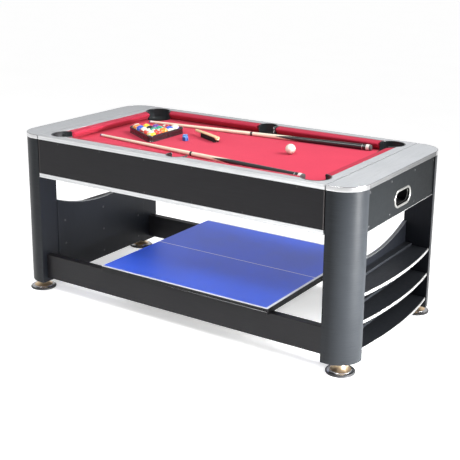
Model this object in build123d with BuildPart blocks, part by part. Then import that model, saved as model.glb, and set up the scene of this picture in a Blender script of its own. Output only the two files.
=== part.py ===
from build123d import *
import os
from math import sin, cos, radians, sqrt, atan2, degrees

# Rotating multi-game table: a six-pocket pool field on one side of a box that
# turns about its long axis, a glide-hockey field on the other side, and two
# table-tennis half tops stored on the stretchers.
# Frame: X along the length, Y across, Z up, origin on the floor at the centre.
# All sizes in millimetres.

# ---------------------------------------------------------------- overall
half_length = 914.4        # outer face of the end edge trims
half_width = 457.2         # outer face of the side edge trims
top_z = 805.0              # top of the rails and of the end tops
trim_h = 20.0              # height of the edge trims and of the top panels
trim_t = 2.2               # how far the edge trims stand off the boards
xb = half_length - trim_t  # outer face of the posts, end direction
yb = half_width - trim_t   # outer face of the posts and aprons, side direction
pivot_z = 701.5            # height of the turning axis

# ---------------------------------------------------------------- turning box
seam_box = 773.0           # half length of the turning box
seam_frame = 778.0         # inner face of the fixed ends
apron_t = 15.0
end_board_t = 18.0
rail_in_x = 730.0          # inner edge of the silver end strips
rail_in_y = 411.0          # inner edge of the silver long rails
bed_z = 762.0              # top of the slate-substitute board
bed_t = 18.0
cloth_t = 0.8
cloth_top = bed_z + cloth_t
hockey_z = 2 * pivot_z - bed_z     # hockey surface, facing down at rest
hockey_t = 16.0
corner_px, corner_py, corner_pr = 684.0, 365.0, 66.0
side_py, side_pr = 388.0, 48.8
pocket_wall = 4.0
pocket_floor = 676.0
nose = 45.0                # width of a cushion, back to nose

# ---------------------------------------------------------------- fixed frame
post_in_y = 341.0          # face of a post towards the storage bay
post_bottom = 48.0
post_wall = 16.0
post_base = 42.0
corner_r = 110.0
lev_x, lev_y, lev_r = 842.0, 392.0, 63.5
stem_r = 5.0
apron_out = 908.0          # outer face of the end aprons
apron_low = 605.0
win_z, win_w, win_h = 673.0, 146.0, 58.0
bezel = 13.0
board_t = 18.0             # bearing boards
panel_in, panel_out = 775.0, 791.0
panel_low, panel_mid, panel_end = 60.0, 390.0, 455.0
shelf_mid_z = (337.0, 216.0, 95.0)
shelf_t, edge_h = 12.0, 13.0
shelf_end_x, shelf_bulge = 905.0, 26.0
str_y, str_t, str_low, str_top = 425.0, 36.0, 70.0, 192.0

# ---------------------------------------------------------------- game pieces
ball_r = 24.0
cue_len = 1249.0
tennis_t = 14.0


def keep(builder, name):
    """Labels a finished piece and writes it as its own file."""
    builder.part.label = name
    export_step(builder.part, "parts/" + name + ".step")


def post_outline(m):
    """Plan of the front right post, drawn inside by m."""
    r = corner_r - m
    ax, ay = xb - corner_r, -yb + corner_r
    k = r * cos(radians(45))
    y_in = -post_in_y - m
    with BuildLine() as outline:
        if y_in > ay:
            Polyline((xb - m, ay), (xb - m, y_in), (seam_frame + m, y_in), (seam_frame + m, -yb + m), (ax, -yb + m))
            ThreePointArc((ax, -yb + m), (ax + k, ay - k), (xb - m, ay))
        else:
            # the inner wall meets the round part of the corner
            x_in = ax + sqrt(r * r - (y_in - ay) ** 2)
            a = (atan2(y_in - ay, x_in - ax) + radians(-90)) / 2
            Polyline((x_in, y_in), (seam_frame + m, y_in), (seam_frame + m, -yb + m), (ax, -yb + m))
            ThreePointArc((ax, -yb + m), (ax + r * cos(a), ay + r * sin(a)), (x_in, y_in))
    return outline.line


# ================================================================ corner posts
with BuildPart() as post_front_right:
    with BuildSketch(Plane.XY.offset(post_bottom)):
        add(post_outline(0))
        make_face()
    extrude(amount=top_z - trim_h - post_bottom)
    with BuildSketch(Plane.XY.offset(post_bottom + post_base)):
        add(post_outline(post_wall))
        make_face()
    extrude(amount=top_z - trim_h - post_bottom - post_base, mode=Mode.SUBTRACT)
    with BuildSketch(Plane.XY.offset(post_bottom)):
        with Locations((lev_x, -lev_y)):
            Circle(9.0)
    extrude(amount=post_base, mode=Mode.SUBTRACT)
keep(post_front_right, "post_front_right")

with BuildPart() as post_front_left:
    mirror(post_front_right.part, about=Plane.YZ)
keep(post_front_left, "post_front_left")
with BuildPart() as post_back_right:
    mirror(post_front_right.part, about=Plane.XZ)
keep(post_back_right, "post_back_right")
with BuildPart() as post_back_left:
    mirror(post_front_left.part, about=Plane.XZ)
keep(post_back_left, "post_back_left")

# threaded sleeves pressed into the foot of each post
with BuildPart() as leveler_inserts:
    with BuildSketch(Plane.XY.offset(post_bottom)):
        with GridLocations(2 * lev_x, 2 * lev_y, 2, 2):
            Circle(9.0)
            Circle(stem_r + 0.05, mode=Mode.SUBTRACT)
    extrude(amount=post_base)
keep(leveler_inserts, "leveler_inserts")

# ================================================================ levelers
with BuildPart() as leveler_front_right:
    with BuildSketch(Plane.XZ):
        with BuildLine():
            Polyline((0, 0), (lev_r, 0), (lev_r, 6), (60.5, 9.5), (47, 13), (42, 14.5))
            ThreePointArc((42, 14.5), (26, 24), (19.5, 44.5))
            Polyline((19.5, 44.5), (stem_r, 44.5), (stem_r, 84), (0, 84), (0, 0))
        make_face()
    revolve(axis=Axis.Z)
leveler_front_right.part.position = (lev_x, -lev_y, 0)
keep(leveler_front_right, "leveler_front_right")
with BuildPart() as leveler_front_left:
    mirror(leveler_front_right.part, about=Plane.YZ)
keep(leveler_front_left, "leveler_front_left")
with BuildPart() as leveler_back_right:
    mirror(leveler_front_right.part, about=Plane.XZ)
keep(leveler_back_right, "leveler_back_right")
with BuildPart() as leveler_back_left:
    mirror(leveler_front_left.part, about=Plane.XZ)
keep(leveler_back_left, "leveler_back_left")

# ================================================================ end tops
with BuildPart() as end_top_right:
    with BuildSketch(Plane.XY.offset(top_z - trim_h)):
        ax, ay = xb - corner_r, yb - corner_r
        k = corner_r * cos(radians(45))
        with BuildLine():
            Polyline((xb, ay), (xb, -ay))
            ThreePointArc((xb, -ay), (ax + k, -ay - k), (ax, -yb))
            Polyline((ax, -yb), (seam_frame, -yb), (seam_frame, yb), (ax, yb))
            ThreePointArc((ax, yb), (ax + k, ay + k), (xb, ay))
        make_face()
    extrude(amount=trim_h)
keep(end_top_right, "end_top_right")
with BuildPart() as end_top_left:
    mirror(end_top_right.part, about=Plane.YZ)
keep(end_top_left, "end_top_left")

# bright corner trims, bent round the corners of the end tops
with BuildPart() as corner_trims:
    with BuildSketch(Plane.XY.offset(top_z - trim_h)):
        ax, ay = xb - corner_r, yb - corner_r
        ki = corner_r * cos(radians(45))
        ko = (corner_r + trim_t) * cos(radians(45))
        with BuildLine():
            Line((seam_frame, -yb), (ax, -yb))
            ThreePointArc((ax, -yb), (ax + ki, -ay - ki), (xb, -ay))
            Line((xb, -ay), (half_length, -ay))
            ThreePointArc((half_length, -ay), (ax + ko, -ay - ko), (ax, -half_width))
            Polyline((ax, -half_width), (seam_frame, -half_width), (seam_frame, -yb))
        make_face()
    extrude(amount=trim_h)
    mirror(about=Plane.XZ)
    mirror(about=Plane.YZ)
keep(corner_trims, "corner_trims")

# straight end trims with two ridges
with BuildPart() as end_edge_trims:
    ay = yb - corner_r
    with BuildSketch(Plane.XZ.offset(ay)):
        with BuildLine():
            Polyline((xb, 785), (xb + 1.3, 785), (xb + 2.2, 786.5), (xb + 2.2, 792), (xb + 1.2, 793.4),
                     (xb + 1.2, 796.6), (xb + 2.2, 798), (xb + 2.2, 803), (xb + 1.0, 805), (xb, 805), (xb, 785))
        make_face()
    extrude(amount=-2 * ay)
    mirror(about=Plane.YZ)
keep(end_edge_trims, "end_edge_trims")

# ================================================================ end aprons
with BuildPart() as end_apron_right:
    with BuildSketch(Plane.YZ.offset(apron_out - 16)):
        with Locations((0, (apron_low + 785) / 2)):
            Rectangle(2 * post_in_y, 785 - apron_low)
        with Locations((0, win_z)):
            SlotOverall(win_w, win_h, mode=Mode.SUBTRACT)
    extrude(amount=16)
keep(end_apron_right, "end_apron_right")
with BuildPart() as end_apron_left:
    mirror(end_apron_right.part, about=Plane.YZ)
keep(end_apron_left, "end_apron_left")

with BuildPart() as window_bezels:
    with BuildSketch(Plane.YZ.offset(apron_out)):
        with Locations((0, win_z)):
            SlotOverall(win_w + 2 * bezel, win_h + 2 * bezel)
            SlotOverall(win_w - 1, win_h - 1, mode=Mode.SUBTRACT)
    extrude(amount=4)
    chamfer(window_bezels.faces().sort_by(Axis.X)[-1].edges(), length=1.2)
    mirror(about=Plane.YZ)
keep(window_bezels, "window_bezels")

# light edge strip on the lower edge of each end apron
with BuildPart() as apron_edge_strips:
    with BuildSketch(Plane.XY.offset(apron_low - 2)):
        with Locations((apron_out - 8, 0), (-apron_out + 8, 0)):
            Rectangle(17.0, 2 * post_in_y - 1)
    extrude(amount=2)
keep(apron_edge_strips, "apron_edge_strips")

# catch trays behind the windows: pucks drop in, hands reach in
with BuildPart() as puck_trays:
    with BuildSketch(Plane.XY.offset(632)):
        with Locations(((796 + 892) / 2, 0)):
            Rectangle(96, 200)
    extrude(amount=110)
    with BuildSketch(Plane.XY.offset(636)):
        with Locations(((796 + 892) / 2, 0)):
            Rectangle(100, 192)
    extrude(amount=110, mode=Mode.SUBTRACT)
    mirror(about=Plane.YZ)
keep(puck_trays, "puck_trays")

# ================================================================ bearing boards
bolt_y = 150.0
bolt_r = 6.0
with BuildPart() as bearing_boards:
    with BuildSketch(Plane.YZ.offset(seam_frame)):
        with Locations((0, (apron_low + 785) / 2)):
            Rectangle(2 * post_in_y, 785 - apron_low)
        with Locations((0, 771)):
            Rectangle(212, 28, mode=Mode.SUBTRACT)
        with Locations((0, pivot_z)):
            Circle(20, mode=Mode.SUBTRACT)
        with Locations((bolt_y, pivot_z)):
            Circle(bolt_r + 0.05, mode=Mode.SUBTRACT)
    extrude(amount=board_t)
    mirror(about=Plane.YZ)
keep(bearing_boards, "bearing_boards")

pin_r = 12.0
with BuildPart() as pivot_bushes:
    with BuildSketch(Plane.YZ.offset(seam_frame - 2)):
        with Locations((0, pivot_z)):
            Circle(28)
            Circle(pin_r + 0.05, mode=Mode.SUBTRACT)
    extrude(amount=2)
    with BuildSketch(Plane.YZ.offset(seam_frame)):
        with Locations((0, pivot_z)):
            Circle(20)
            Circle(pin_r + 0.05, mode=Mode.SUBTRACT)
    extrude(amount=board_t)
    mirror(about=Plane.YZ)
keep(pivot_bushes, "pivot_bushes")

# guides of the locking bolts, on the outer face of the bearing boards
with BuildPart() as lock_guides:
    with BuildSketch(Plane.YZ.offset(seam_frame + board_t)):
        with Locations((bolt_y, pivot_z)):
            RectangleRounded(34, 34, 4)
            Circle(bolt_r + 0.05, mode=Mode.SUBTRACT)
    extrude(amount=20)
    mirror(about=Plane.YZ)
keep(lock_guides, "lock_guides")

with BuildPart() as lock_bolt_right:
    with BuildSketch(Plane.YZ.offset(seam_frame + 1)):
        with Locations((bolt_y, pivot_z)):
            Circle(bolt_r)
    extrude(amount=71)
    with BuildSketch(Plane.XY.offset(pivot_z - 66)):
        with Locations((842, bolt_y)):
            Circle(5)
    extrude(amount=66)
    with Locations((842, bolt_y, pivot_z - 70)):
        Sphere(11)
keep(lock_bolt_right, "lock_bolt_right")
with BuildPart() as lock_bolt_left:
    mirror(lock_bolt_right.part, about=Plane.YZ)
keep(lock_bolt_left, "lock_bolt_left")

# ================================================================ storage ends
def arc_y(z_end, z_mid, y):
    """Height of the hollow top edge at y."""
    s = z_end - z_mid
    r = (post_in_y ** 2 + s ** 2) / (2 * s)
    return z_mid + r - sqrt(r * r - y * y)


with BuildPart() as end_panel_right:
    with BuildSketch(Plane.YZ.offset(panel_in)):
        with BuildLine():
            Polyline((post_in_y, panel_end), (post_in_y, panel_low), (-post_in_y, panel_low),
                     (-post_in_y, panel_end))
            ThreePointArc((-post_in_y, panel_end), (0, panel_mid), (post_in_y, panel_end))
        make_face()
    extrude(amount=panel_out - panel_in)
keep(end_panel_right, "end_panel_right")
with BuildPart() as end_panel_left:
    mirror(end_panel_right.part, about=Plane.YZ)
keep(end_panel_left, "end_panel_left")

with BuildPart() as end_panel_trims:
    with BuildSketch(Plane.YZ.offset(panel_in - 0.5)):
        with BuildLine():
            ThreePointArc((-post_in_y, panel_end), (0, panel_mid), (post_in_y, panel_end))
            Line((post_in_y, panel_end), (post_in_y, panel_end + 2.2))
            ThreePointArc((post_in_y, panel_end + 2.2), (0, panel_mid + 2.2), (-post_in_y, panel_end + 2.2))
            Line((-post_in_y, panel_end + 2.2), (-post_in_y, panel_end))
        make_face()
    extrude(amount=panel_out - panel_in + 1)
    mirror(about=Plane.YZ)
keep(end_panel_trims, "end_panel_trims")


# three identical shelves at each end: straight at the panel, bowed outwards in front
with BuildPart() as shelves_right:
    for z in shelf_mid_z:
        with BuildSketch(Plane.XY.offset(z - shelf_t / 2)):
            with BuildLine():
                Polyline((shelf_end_x, -post_in_y), (panel_out, -post_in_y), (panel_out, post_in_y),
                         (shelf_end_x, post_in_y))
                ThreePointArc((shelf_end_x, post_in_y), (shelf_end_x + shelf_bulge, 0), (shelf_end_x, -post_in_y))
            make_face()
        extrude(amount=shelf_t)
keep(shelves_right, "shelves_right")
with BuildPart() as shelves_left:
    mirror(shelves_right.part, about=Plane.YZ)
keep(shelves_left, "shelves_left")

# light edge mouldings on the bowed edges
with BuildPart() as shelf_edge_trims:
    for z in shelf_mid_z:
        with BuildSketch(Plane.XY.offset(z - edge_h / 2)):
            with BuildLine():
                ThreePointArc((shelf_end_x, -post_in_y), (shelf_end_x + shelf_bulge, 0), (shelf_end_x, post_in_y))
                Line((shelf_end_x, post_in_y), (shelf_end_x + 3, post_in_y))
                ThreePointArc((shelf_end_x + 3, post_in_y), (shelf_end_x + shelf_bulge + 3, 0),
                              (shelf_end_x + 3, -post_in_y))
                Line((shelf_end_x + 3, -post_in_y), (shelf_end_x, -post_in_y))
            make_face()
        extrude(amount=edge_h)
    mirror(about=Plane.YZ)
keep(shelf_edge_trims, "shelf_edge_trims")

# battens that hold the shelves to the panels
with BuildPart() as shelf_battens:
    for z in shelf_mid_z:
        with BuildSketch(Plane.XY.offset(z + shelf_t / 2)):
            with Locations(((panel_out + 824) / 2, 0)):
                Rectangle(824 - panel_out, 2 * post_in_y - 2)
        extrude(amount=12)
    mirror(about=Plane.YZ)
keep(shelf_battens, "shelf_battens")

# ================================================================ stretchers
with BuildPart() as stretcher_front:
    with BuildSketch(Plane.YZ.offset(-seam_frame)):
        with Locations((-str_y + str_t / 2, (str_low + str_top) / 2)):
            Rectangle(str_t, str_top - str_low)
    extrude(amount=2 * seam_frame)
keep(stretcher_front, "stretcher_front")
with BuildPart() as stretcher_back:
    mirror(stretcher_front.part, about=Plane.XZ)
keep(stretcher_back, "stretcher_back")

# dome heads of the screws in the end aprons, end panels and stretcher ends
with BuildPart() as frame_screws:
    for y, z in ((-326, 767), (-120, 765), (120, 765), (326, 767), (-326, 624), (-126, 624), (126, 624), (326, 624)):
        with BuildSketch(Plane.YZ.offset(apron_out)):
            with Locations((y, z)):
                Circle(5)
        extrude(amount=1.6)
    for z in shelf_mid_z:
        with BuildSketch(Plane.YZ.offset(panel_in - 1.2)):
            with Locations((-290, z), (0, z), (290, z)):
                Circle(6)
        extrude(amount=1.2)
    mirror(about=Plane.YZ)
keep(frame_screws, "frame_screws")

# ================================================================ turning box
with BuildPart() as apron_front:
    with BuildSketch(Plane.YZ.offset(-seam_box)):
        with Locations((-yb + apron_t / 2, pivot_z)):
            Rectangle(apron_t, 2 * (785 - pivot_z))
    extrude(amount=2 * seam_box)
keep(apron_front, "apron_front")
with BuildPart() as apron_back:
    mirror(apron_front.part, about=Plane.XZ)
keep(apron_back, "apron_back")

goal_w = 210.0
with BuildPart() as box_ends:
    with BuildSketch(Plane.YZ.offset(seam_box - end_board_t)):
        with Locations((0, pivot_z)):
            Rectangle(2 * (yb - apron_t), 2 * (785 - pivot_z))
            Circle(pin_r, mode=Mode.SUBTRACT)
        with Locations((0, hockey_z - 9.5)):
            Rectangle(goal_w, 19, mode=Mode.SUBTRACT)
        with Locations((bolt_y, pivot_z), (-bolt_y, pivot_z)):
            Circle(bolt_r + 0.4, mode=Mode.SUBTRACT)
    extrude(amount=end_board_t)
    mirror(about=Plane.YZ)
keep(box_ends, "box_ends")

# flanged pivot pins, the flange bolted to the inside of each box end
with BuildPart() as pivot_pins:
    with BuildSketch(Plane.YZ.offset(seam_box - end_board_t - 6)):
        with Locations((0, pivot_z)):
            Circle(36)
    extrude(amount=6)
    with BuildSketch(Plane.YZ.offset(seam_box - end_board_t)):
        with Locations((0, pivot_z)):
            Circle(pin_r)
    extrude(amount=end_board_t + 22.5)
    mirror(about=Plane.YZ)
keep(pivot_pins, "pivot_pins")

# silver pool rails: a top board over the apron and a sub-rail down to the bed
with BuildPart() as pool_rail_front:
    with BuildSketch(Plane.YZ.offset(-seam_box)):
        with BuildLine():
            Polyline((-rail_in_y, bed_z), (-rail_in_y, top_z), (-yb, top_z), (-yb, 785), (-yb + apron_t, 785),
                     (-yb + apron_t, bed_z), (-rail_in_y, bed_z))
        make_face()
    extrude(amount=2 * seam_box)
    with BuildSketch(Plane.XY.offset(bed_z)):
        with Locations((corner_px, -corner_py), (-corner_px, -corner_py)):
            Circle(corner_pr + 0.2)
        with Locations((0, -side_py)):
            Circle(side_pr + 0.2)
        with Locations((seam_box - 9, -rail_in_y - 16), (-seam_box + 9, -rail_in_y - 16)):
            Rectangle(18.2, 32.01)
    extrude(amount=23, mode=Mode.SUBTRACT)
    with BuildSketch(Plane.XY.offset(bed_z + 23)):
        with Locations((corner_px, -corner_py), (-corner_px, -corner_py)):
            Circle(corner_pr + 0.2)
        with Locations((0, -side_py)):
            Circle(side_pr + 0.2)
    extrude(amount=25, mode=Mode.SUBTRACT)
keep(pool_rail_front, "pool_rail_front")
with BuildPart() as pool_rail_back:
    mirror(pool_rail_front.part, about=Plane.XZ)
keep(pool_rail_back, "pool_rail_back")

with BuildPart() as pool_rail_ends:
    with BuildSketch(Plane.XZ.offset(-rail_in_y)):
        with BuildLine():
            Polyline((rail_in_x, bed_z), (rail_in_x, top_z), (seam_box, top_z), (seam_box, 785),
                     (seam_box - end_board_t, 785), (seam_box - end_board_t, bed_z), (rail_in_x, bed_z))
        make_face()
    extrude(amount=2 * rail_in_y)
    with BuildSketch(Plane.XY.offset(bed_z)):
        with Locations((corner_px, -corner_py), (corner_px, corner_py)):
            Circle(corner_pr + 0.2)
    extrude(amount=50, mode=Mode.SUBTRACT)
    mirror(about=Plane.YZ)
keep(pool_rail_ends, "pool_rail_ends")


# two-ridge edge trim along both long sides
ridge = ((0, 0), (1.3, 0), (2.2, 1.5), (2.2, 7), (1.2, 8.4), (1.2, 11.6), (2.2, 13), (2.2, 18), (1.0, 20), (0, 20), (0, 0))
with BuildPart() as side_edge_trims:
    with BuildSketch(Plane.YZ.offset(-seam_box)):
        with BuildLine():
            Polyline(*[(yb + u, top_z - trim_h + v) for u, v in ridge])
        make_face()
    extrude(amount=2 * seam_box)
    mirror(about=Plane.XZ)
    mirror(about=Plane.XY.offset(pivot_z))
keep(side_edge_trims, "side_edge_trims")

with BuildPart() as pool_bed:
    with BuildSketch(Plane.XY.offset(bed_z - bed_t)):
        Rectangle(2 * (seam_box - end_board_t), 2 * (yb - apron_t))
        with GridLocations(2 * corner_px, 2 * corner_py, 2, 2):
            Circle(corner_pr + 0.2, mode=Mode.SUBTRACT)
        with GridLocations(2 * 720.0, 2 * 403.0, 2, 2):
            Rectangle(72.0, 76.0, mode=Mode.SUBTRACT)
        with GridLocations(1, 2 * side_py, 1, 2):
            Circle(side_pr + 0.2, mode=Mode.SUBTRACT)
    extrude(amount=bed_t)
keep(pool_bed, "pool_bed")

with BuildPart() as pool_cloth:
    with BuildSketch(Plane.XY.offset(bed_z)):
        Rectangle(2 * rail_in_x - 0.4, 2 * rail_in_y - 0.4)
        with GridLocations(2 * corner_px, 2 * corner_py, 2, 2):
            Circle(corner_pr + 0.2, mode=Mode.SUBTRACT)
        with GridLocations(2 * (corner_px + 33), 2 * (corner_py + 33), 2, 2):
            Rectangle(66.0, 66.0, mode=Mode.SUBTRACT)
        with GridLocations(1, 2 * side_py, 1, 2):
            Circle(side_pr + 0.2, mode=Mode.SUBTRACT)
    extrude(amount=cloth_t)
keep(pool_cloth, "pool_cloth")

# rubber cushions under cloth, nose at about two thirds of a ball's height
z0 = cloth_top + 0.2
with BuildPart() as cushions_long:
    with BuildSketch(Plane.YZ.offset(50.0)):
        with BuildLine():
            Polyline((-rail_in_y + 0.1, z0), (-rail_in_y + 0.1, 803.5), (-rail_in_y + 36, 800.5),
                     (-rail_in_y + nose, 796), (-rail_in_y + nose, 791.5), (-rail_in_y + 22, 768),
                     (-rail_in_y + 14, z0), (-rail_in_y + 0.1, z0))
        make_face()
    extrude(amount=583.0)
    # angled jaws at the corner pocket and at the side pocket
    split(bisect_by=Plane(origin=(610.0, -rail_in_y + nose, z0), z_dir=(45.0, 21.0, 0)), keep=Keep.BOTTOM)
    split(bisect_by=Plane(origin=(55.0, -rail_in_y + nose, z0), z_dir=(-45.0, 3.0, 0)), keep=Keep.BOTTOM)
    mirror(about=Plane.XZ)
    mirror(about=Plane.YZ)
keep(cushions_long, "cushions_long")

with BuildPart() as cushions_end:
    with BuildSketch(Plane.XZ.offset(-314.0)):
        with BuildLine():
            Polyline((rail_in_x - 0.1, z0), (rail_in_x - 0.1, 803.5), (rail_in_x - 36, 800.5),
                     (rail_in_x - nose, 796), (rail_in_x - nose, 791.5), (rail_in_x - 22, 768),
                     (rail_in_x - 14, z0), (rail_in_x - 0.1, z0))
        make_face()
    extrude(amount=628.0)
    split(bisect_by=Plane(origin=(rail_in_x - nose, 291.0, z0), z_dir=(-21.0, 45.0, 0)), keep=Keep.BOTTOM)
    split(bisect_by=Plane(origin=(rail_in_x - nose, -291.0, z0), z_dir=(-21.0, -45.0, 0)), keep=Keep.BOTTOM)
    mirror(about=Plane.YZ)
keep(cushions_end, "cushions_end")

# pocket liners: a drop cup under the bed and a back wall up to the rail
with BuildPart() as corner_pockets:
    with BuildSketch(Plane.XY.offset(pocket_floor)):
        with Locations((corner_px, corner_py)):
            Circle(corner_pr)
    extrude(amount=top_z + 1 - pocket_floor)
    with BuildSketch(Plane.XY.offset(pocket_floor + pocket_wall)):
        with Locations((corner_px, corner_py)):
            Circle(corner_pr - pocket_wall)
    extrude(amount=160, mode=Mode.SUBTRACT)
    with BuildSketch(Plane.XY.offset(bed_z)):
        with Locations(Location((corner_px - 80 * 0.70711 - 26, corner_py - 80 * 0.70711 - 26), 45)):
            Rectangle(160, 200)
    extrude(amount=60, mode=Mode.SUBTRACT)
    mirror(about=Plane.XZ)
    mirror(about=Plane.YZ)
keep(corner_pockets, "corner_pockets")

with BuildPart() as side_pockets:
    with BuildSketch(Plane.XY.offset(pocket_floor)):
        with Locations((0, side_py)):
            Circle(side_pr)
    extrude(amount=top_z + 1 - pocket_floor)
    with BuildSketch(Plane.XY.offset(pocket_floor + pocket_wall)):
        with Locations((0, side_py)):
            Circle(side_pr - pocket_wall)
    extrude(amount=160, mode=Mode.SUBTRACT)
    with BuildSketch(Plane.XY.offset(bed_z)):
        with Locations((0, side_py - 22 - 60)):
            Rectangle(160, 120)
    extrude(amount=60, mode=Mode.SUBTRACT)
    mirror(about=Plane.XZ)
keep(side_pockets, "side_pockets")

# ================================================================ hockey side
with BuildPart() as hockey_bed:
    with BuildSketch(Plane.XY.offset(hockey_z)):
        Rectangle(2 * (seam_box - end_board_t), 2 * (yb - apron_t))
    extrude(amount=hockey_t)
keep(hockey_bed, "hockey_bed")

hz_low = 2 * pivot_z - top_z      # 598
with BuildPart() as hockey_rails_long:
    with BuildSketch(Plane.YZ.offset(-seam_box + end_board_t)):
        with BuildLine():
            Polyline((-rail_in_y, hockey_z), (-rail_in_y, hz_low), (-yb, hz_low), (-yb, hz_low + 20),
                     (-yb + apron_t, hz_low + 20), (-yb + apron_t, hockey_z), (-rail_in_y, hockey_z))
        make_face()
    extrude(amount=2 * (seam_box - end_board_t))
    with BuildSketch(Plane.YZ.offset(seam_box - end_board_t)):
        with Locations((-(yb + rail_in_y) / 2, hz_low + 10)):
            Rectangle(yb - rail_in_y, 20)
    extrude(amount=end_board_t)
    with BuildSketch(Plane.YZ.offset(-seam_box)):
        with Locations((-(yb + rail_in_y) / 2, hz_low + 10)):
            Rectangle(yb - rail_in_y, 20)
    extrude(amount=end_board_t)
    mirror(about=Plane.XZ)
hockey_long = hockey_rails_long.part

with BuildPart() as hockey_rails:
    with BuildSketch(Plane.XZ.offset(-rail_in_y)):
        with BuildLine():
            Polyline((rail_in_x, hockey_z), (rail_in_x, hz_low), (seam_box, hz_low), (seam_box, hz_low + 20),
                     (seam_box - end_board_t, hz_low + 20), (seam_box - end_board_t, hockey_z),
                     (rail_in_x, hockey_z))
        make_face()
    extrude(amount=2 * rail_in_y)
    with BuildSketch(Plane.XZ.offset(-goal_w / 2)):
        with BuildLine():
            Polyline((rail_in_x - 5, hockey_z + 1), (rail_in_x - 5, hockey_z - 19), (seam_box - end_board_t + 1, hockey_z - 19),
                     (seam_box - end_board_t + 1, hockey_z + 1), (rail_in_x - 5, hockey_z + 1))
        make_face()
    extrude(amount=goal_w, mode=Mode.SUBTRACT)
    mirror(about=Plane.YZ)
    add(hockey_long)
keep(hockey_rails, "hockey_rails")

# screw heads on the long aprons, one row near each edge
with BuildPart() as apron_screws:
    for z in (776.0, 627.0):
        with BuildSketch(Plane.XZ.offset(yb)):
            with Locations(*[(x, z) for x in (-647, -390, -130, 130, 390, 647)]):
                Circle(3.5)
        extrude(amount=0.8)
    mirror(about=Plane.XZ)
keep(apron_screws, "apron_screws")

# ================================================================ tennis tops
def tennis_half(z, cx, cy, turn, name):
    with BuildPart() as half:
        with BuildSketch(Plane.XY.offset(z)):
            with Locations(Location((cx, cy), turn)):
                RectangleRounded(918, 888, 4)
        extrude(amount=tennis_t)
    keep(half, name)


tennis_half(str_top, 61, -8.5, -0.3, "tennis_top_lower")
tennis_half(str_top + tennis_t, 61, -8.0, 0.0, "tennis_top_upper")

# ================================================================ game pieces
def make_cue(tip, butt, name):
    """A cue lying on the cloth: shaft, joint ring, butt and bumper on one axis."""
    dx, dy = butt[0] - tip[0], butt[1] - tip[1]
    turn = degrees(atan2(dy, dx))
    rise = degrees(atan2(14.0 - 6.3, cue_len))
    with BuildPart() as cue:
        with BuildSketch(Plane.XY):
            with BuildLine():
                Polyline((0, 0), (0, 5.6), (2, 6.0), (715, 10.2), (cue_len - 6, 13.9), (cue_len, 12.5),
                         (cue_len, 0), (0, 0))
            make_face()
        revolve(axis=Axis.X)
    base = Location((tip[0], tip[1], cloth_top + 6.55), (0, 0, turn)) * Location((0, 0, 0), (0, -rise, 0))
    cue.part.location = base
    keep(cue, name)


make_cue((-643.6, -154.1), (595.8, -305.1), "cue_front")
make_cue((-652.0, 244.8), (592.7, 348.0), "cue_back")

rack_cx = -434.0
rack_cy = 11.0
d = 2 * ball_r
tri_in = 4 * d + 2 * ball_r * sqrt(3)         # inner side of the triangle
tri_h = tri_in * sqrt(3) / 2
wall = 7.0
with BuildPart() as ball_rack:
    with BuildSketch(Plane.XY.offset(cloth_top)):
        ro = (tri_h / 3 + wall) * 2
        ri = (tri_h / 3 + 0.4) * 2
        with BuildLine():
            Polyline(*[(rack_cx + ro * cos(radians(a)), rack_cy + ro * sin(radians(a))) for a in (180, 300, 60, 180)])
        make_face()
        fillet(vertices(), 20)
    extrude(amount=32)
    with BuildSketch(Plane.XY.offset(cloth_top)):
        with BuildLine():
            Polyline(*[(rack_cx + ri * cos(radians(a)), rack_cy + ri * sin(radians(a))) for a in (180, 300, 60, 180)])
        make_face()
        fillet(vertices(), 13)
    extrude(amount=32, mode=Mode.SUBTRACT)
keep(ball_rack, "ball_rack")

with BuildPart() as racked_balls:
    for row in range(5):
        bx = rack_cx - tri_h * 2 / 3 + 2 * ball_r + row * d * sqrt(3) / 2
        for j in range(row + 1):
            with Locations((bx, rack_cy + (j - row / 2) * d, cloth_top + ball_r + 0.1)):
                Sphere(ball_r - 0.1)
keep(racked_balls, "racked_balls")

with BuildPart() as cue_ball:
    with Locations((316, 66, cloth_top + ball_r + 0.2)):
        Sphere(ball_r)
keep(cue_ball, "cue_ball")

with BuildPart() as chalk_cubes:
    with BuildSketch(Plane.XY.offset(cloth_top)):
        with Locations(Location((-268.0, 42.0), 20)):
            RectangleRounded(22, 22, 1.5)
        with Locations(Location((-242.0, 8.0), -12)):
            RectangleRounded(22, 22, 1.5)
    extrude(amount=21)
keep(chalk_cubes, "chalk_cubes")

with BuildPart() as cloth_brush:
    turn = degrees(atan2(51 - 150, 205.0))
    with BuildSketch(Plane.XY.offset(cloth_top + 19)):
        with Locations(Location((-180.0, 104.0), turn)):
            SlotOverall(225, 26)
    extrude(amount=11)
    with BuildSketch(Plane.XY.offset(cloth_top)):
        with Locations(Location((-180.0 + 14 * cos(radians(turn)), 104.0 + 14 * sin(radians(turn))), turn)):
            RectangleRounded(140, 30, 8)
    extrude(amount=19)
keep(cloth_brush, "cloth_brush")
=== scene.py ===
import bpy, bmesh
import numpy as np
from math import sin, cos, pi, radians, sqrt, atan2, acos
from mathutils import Vector, Matrix, noise


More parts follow.
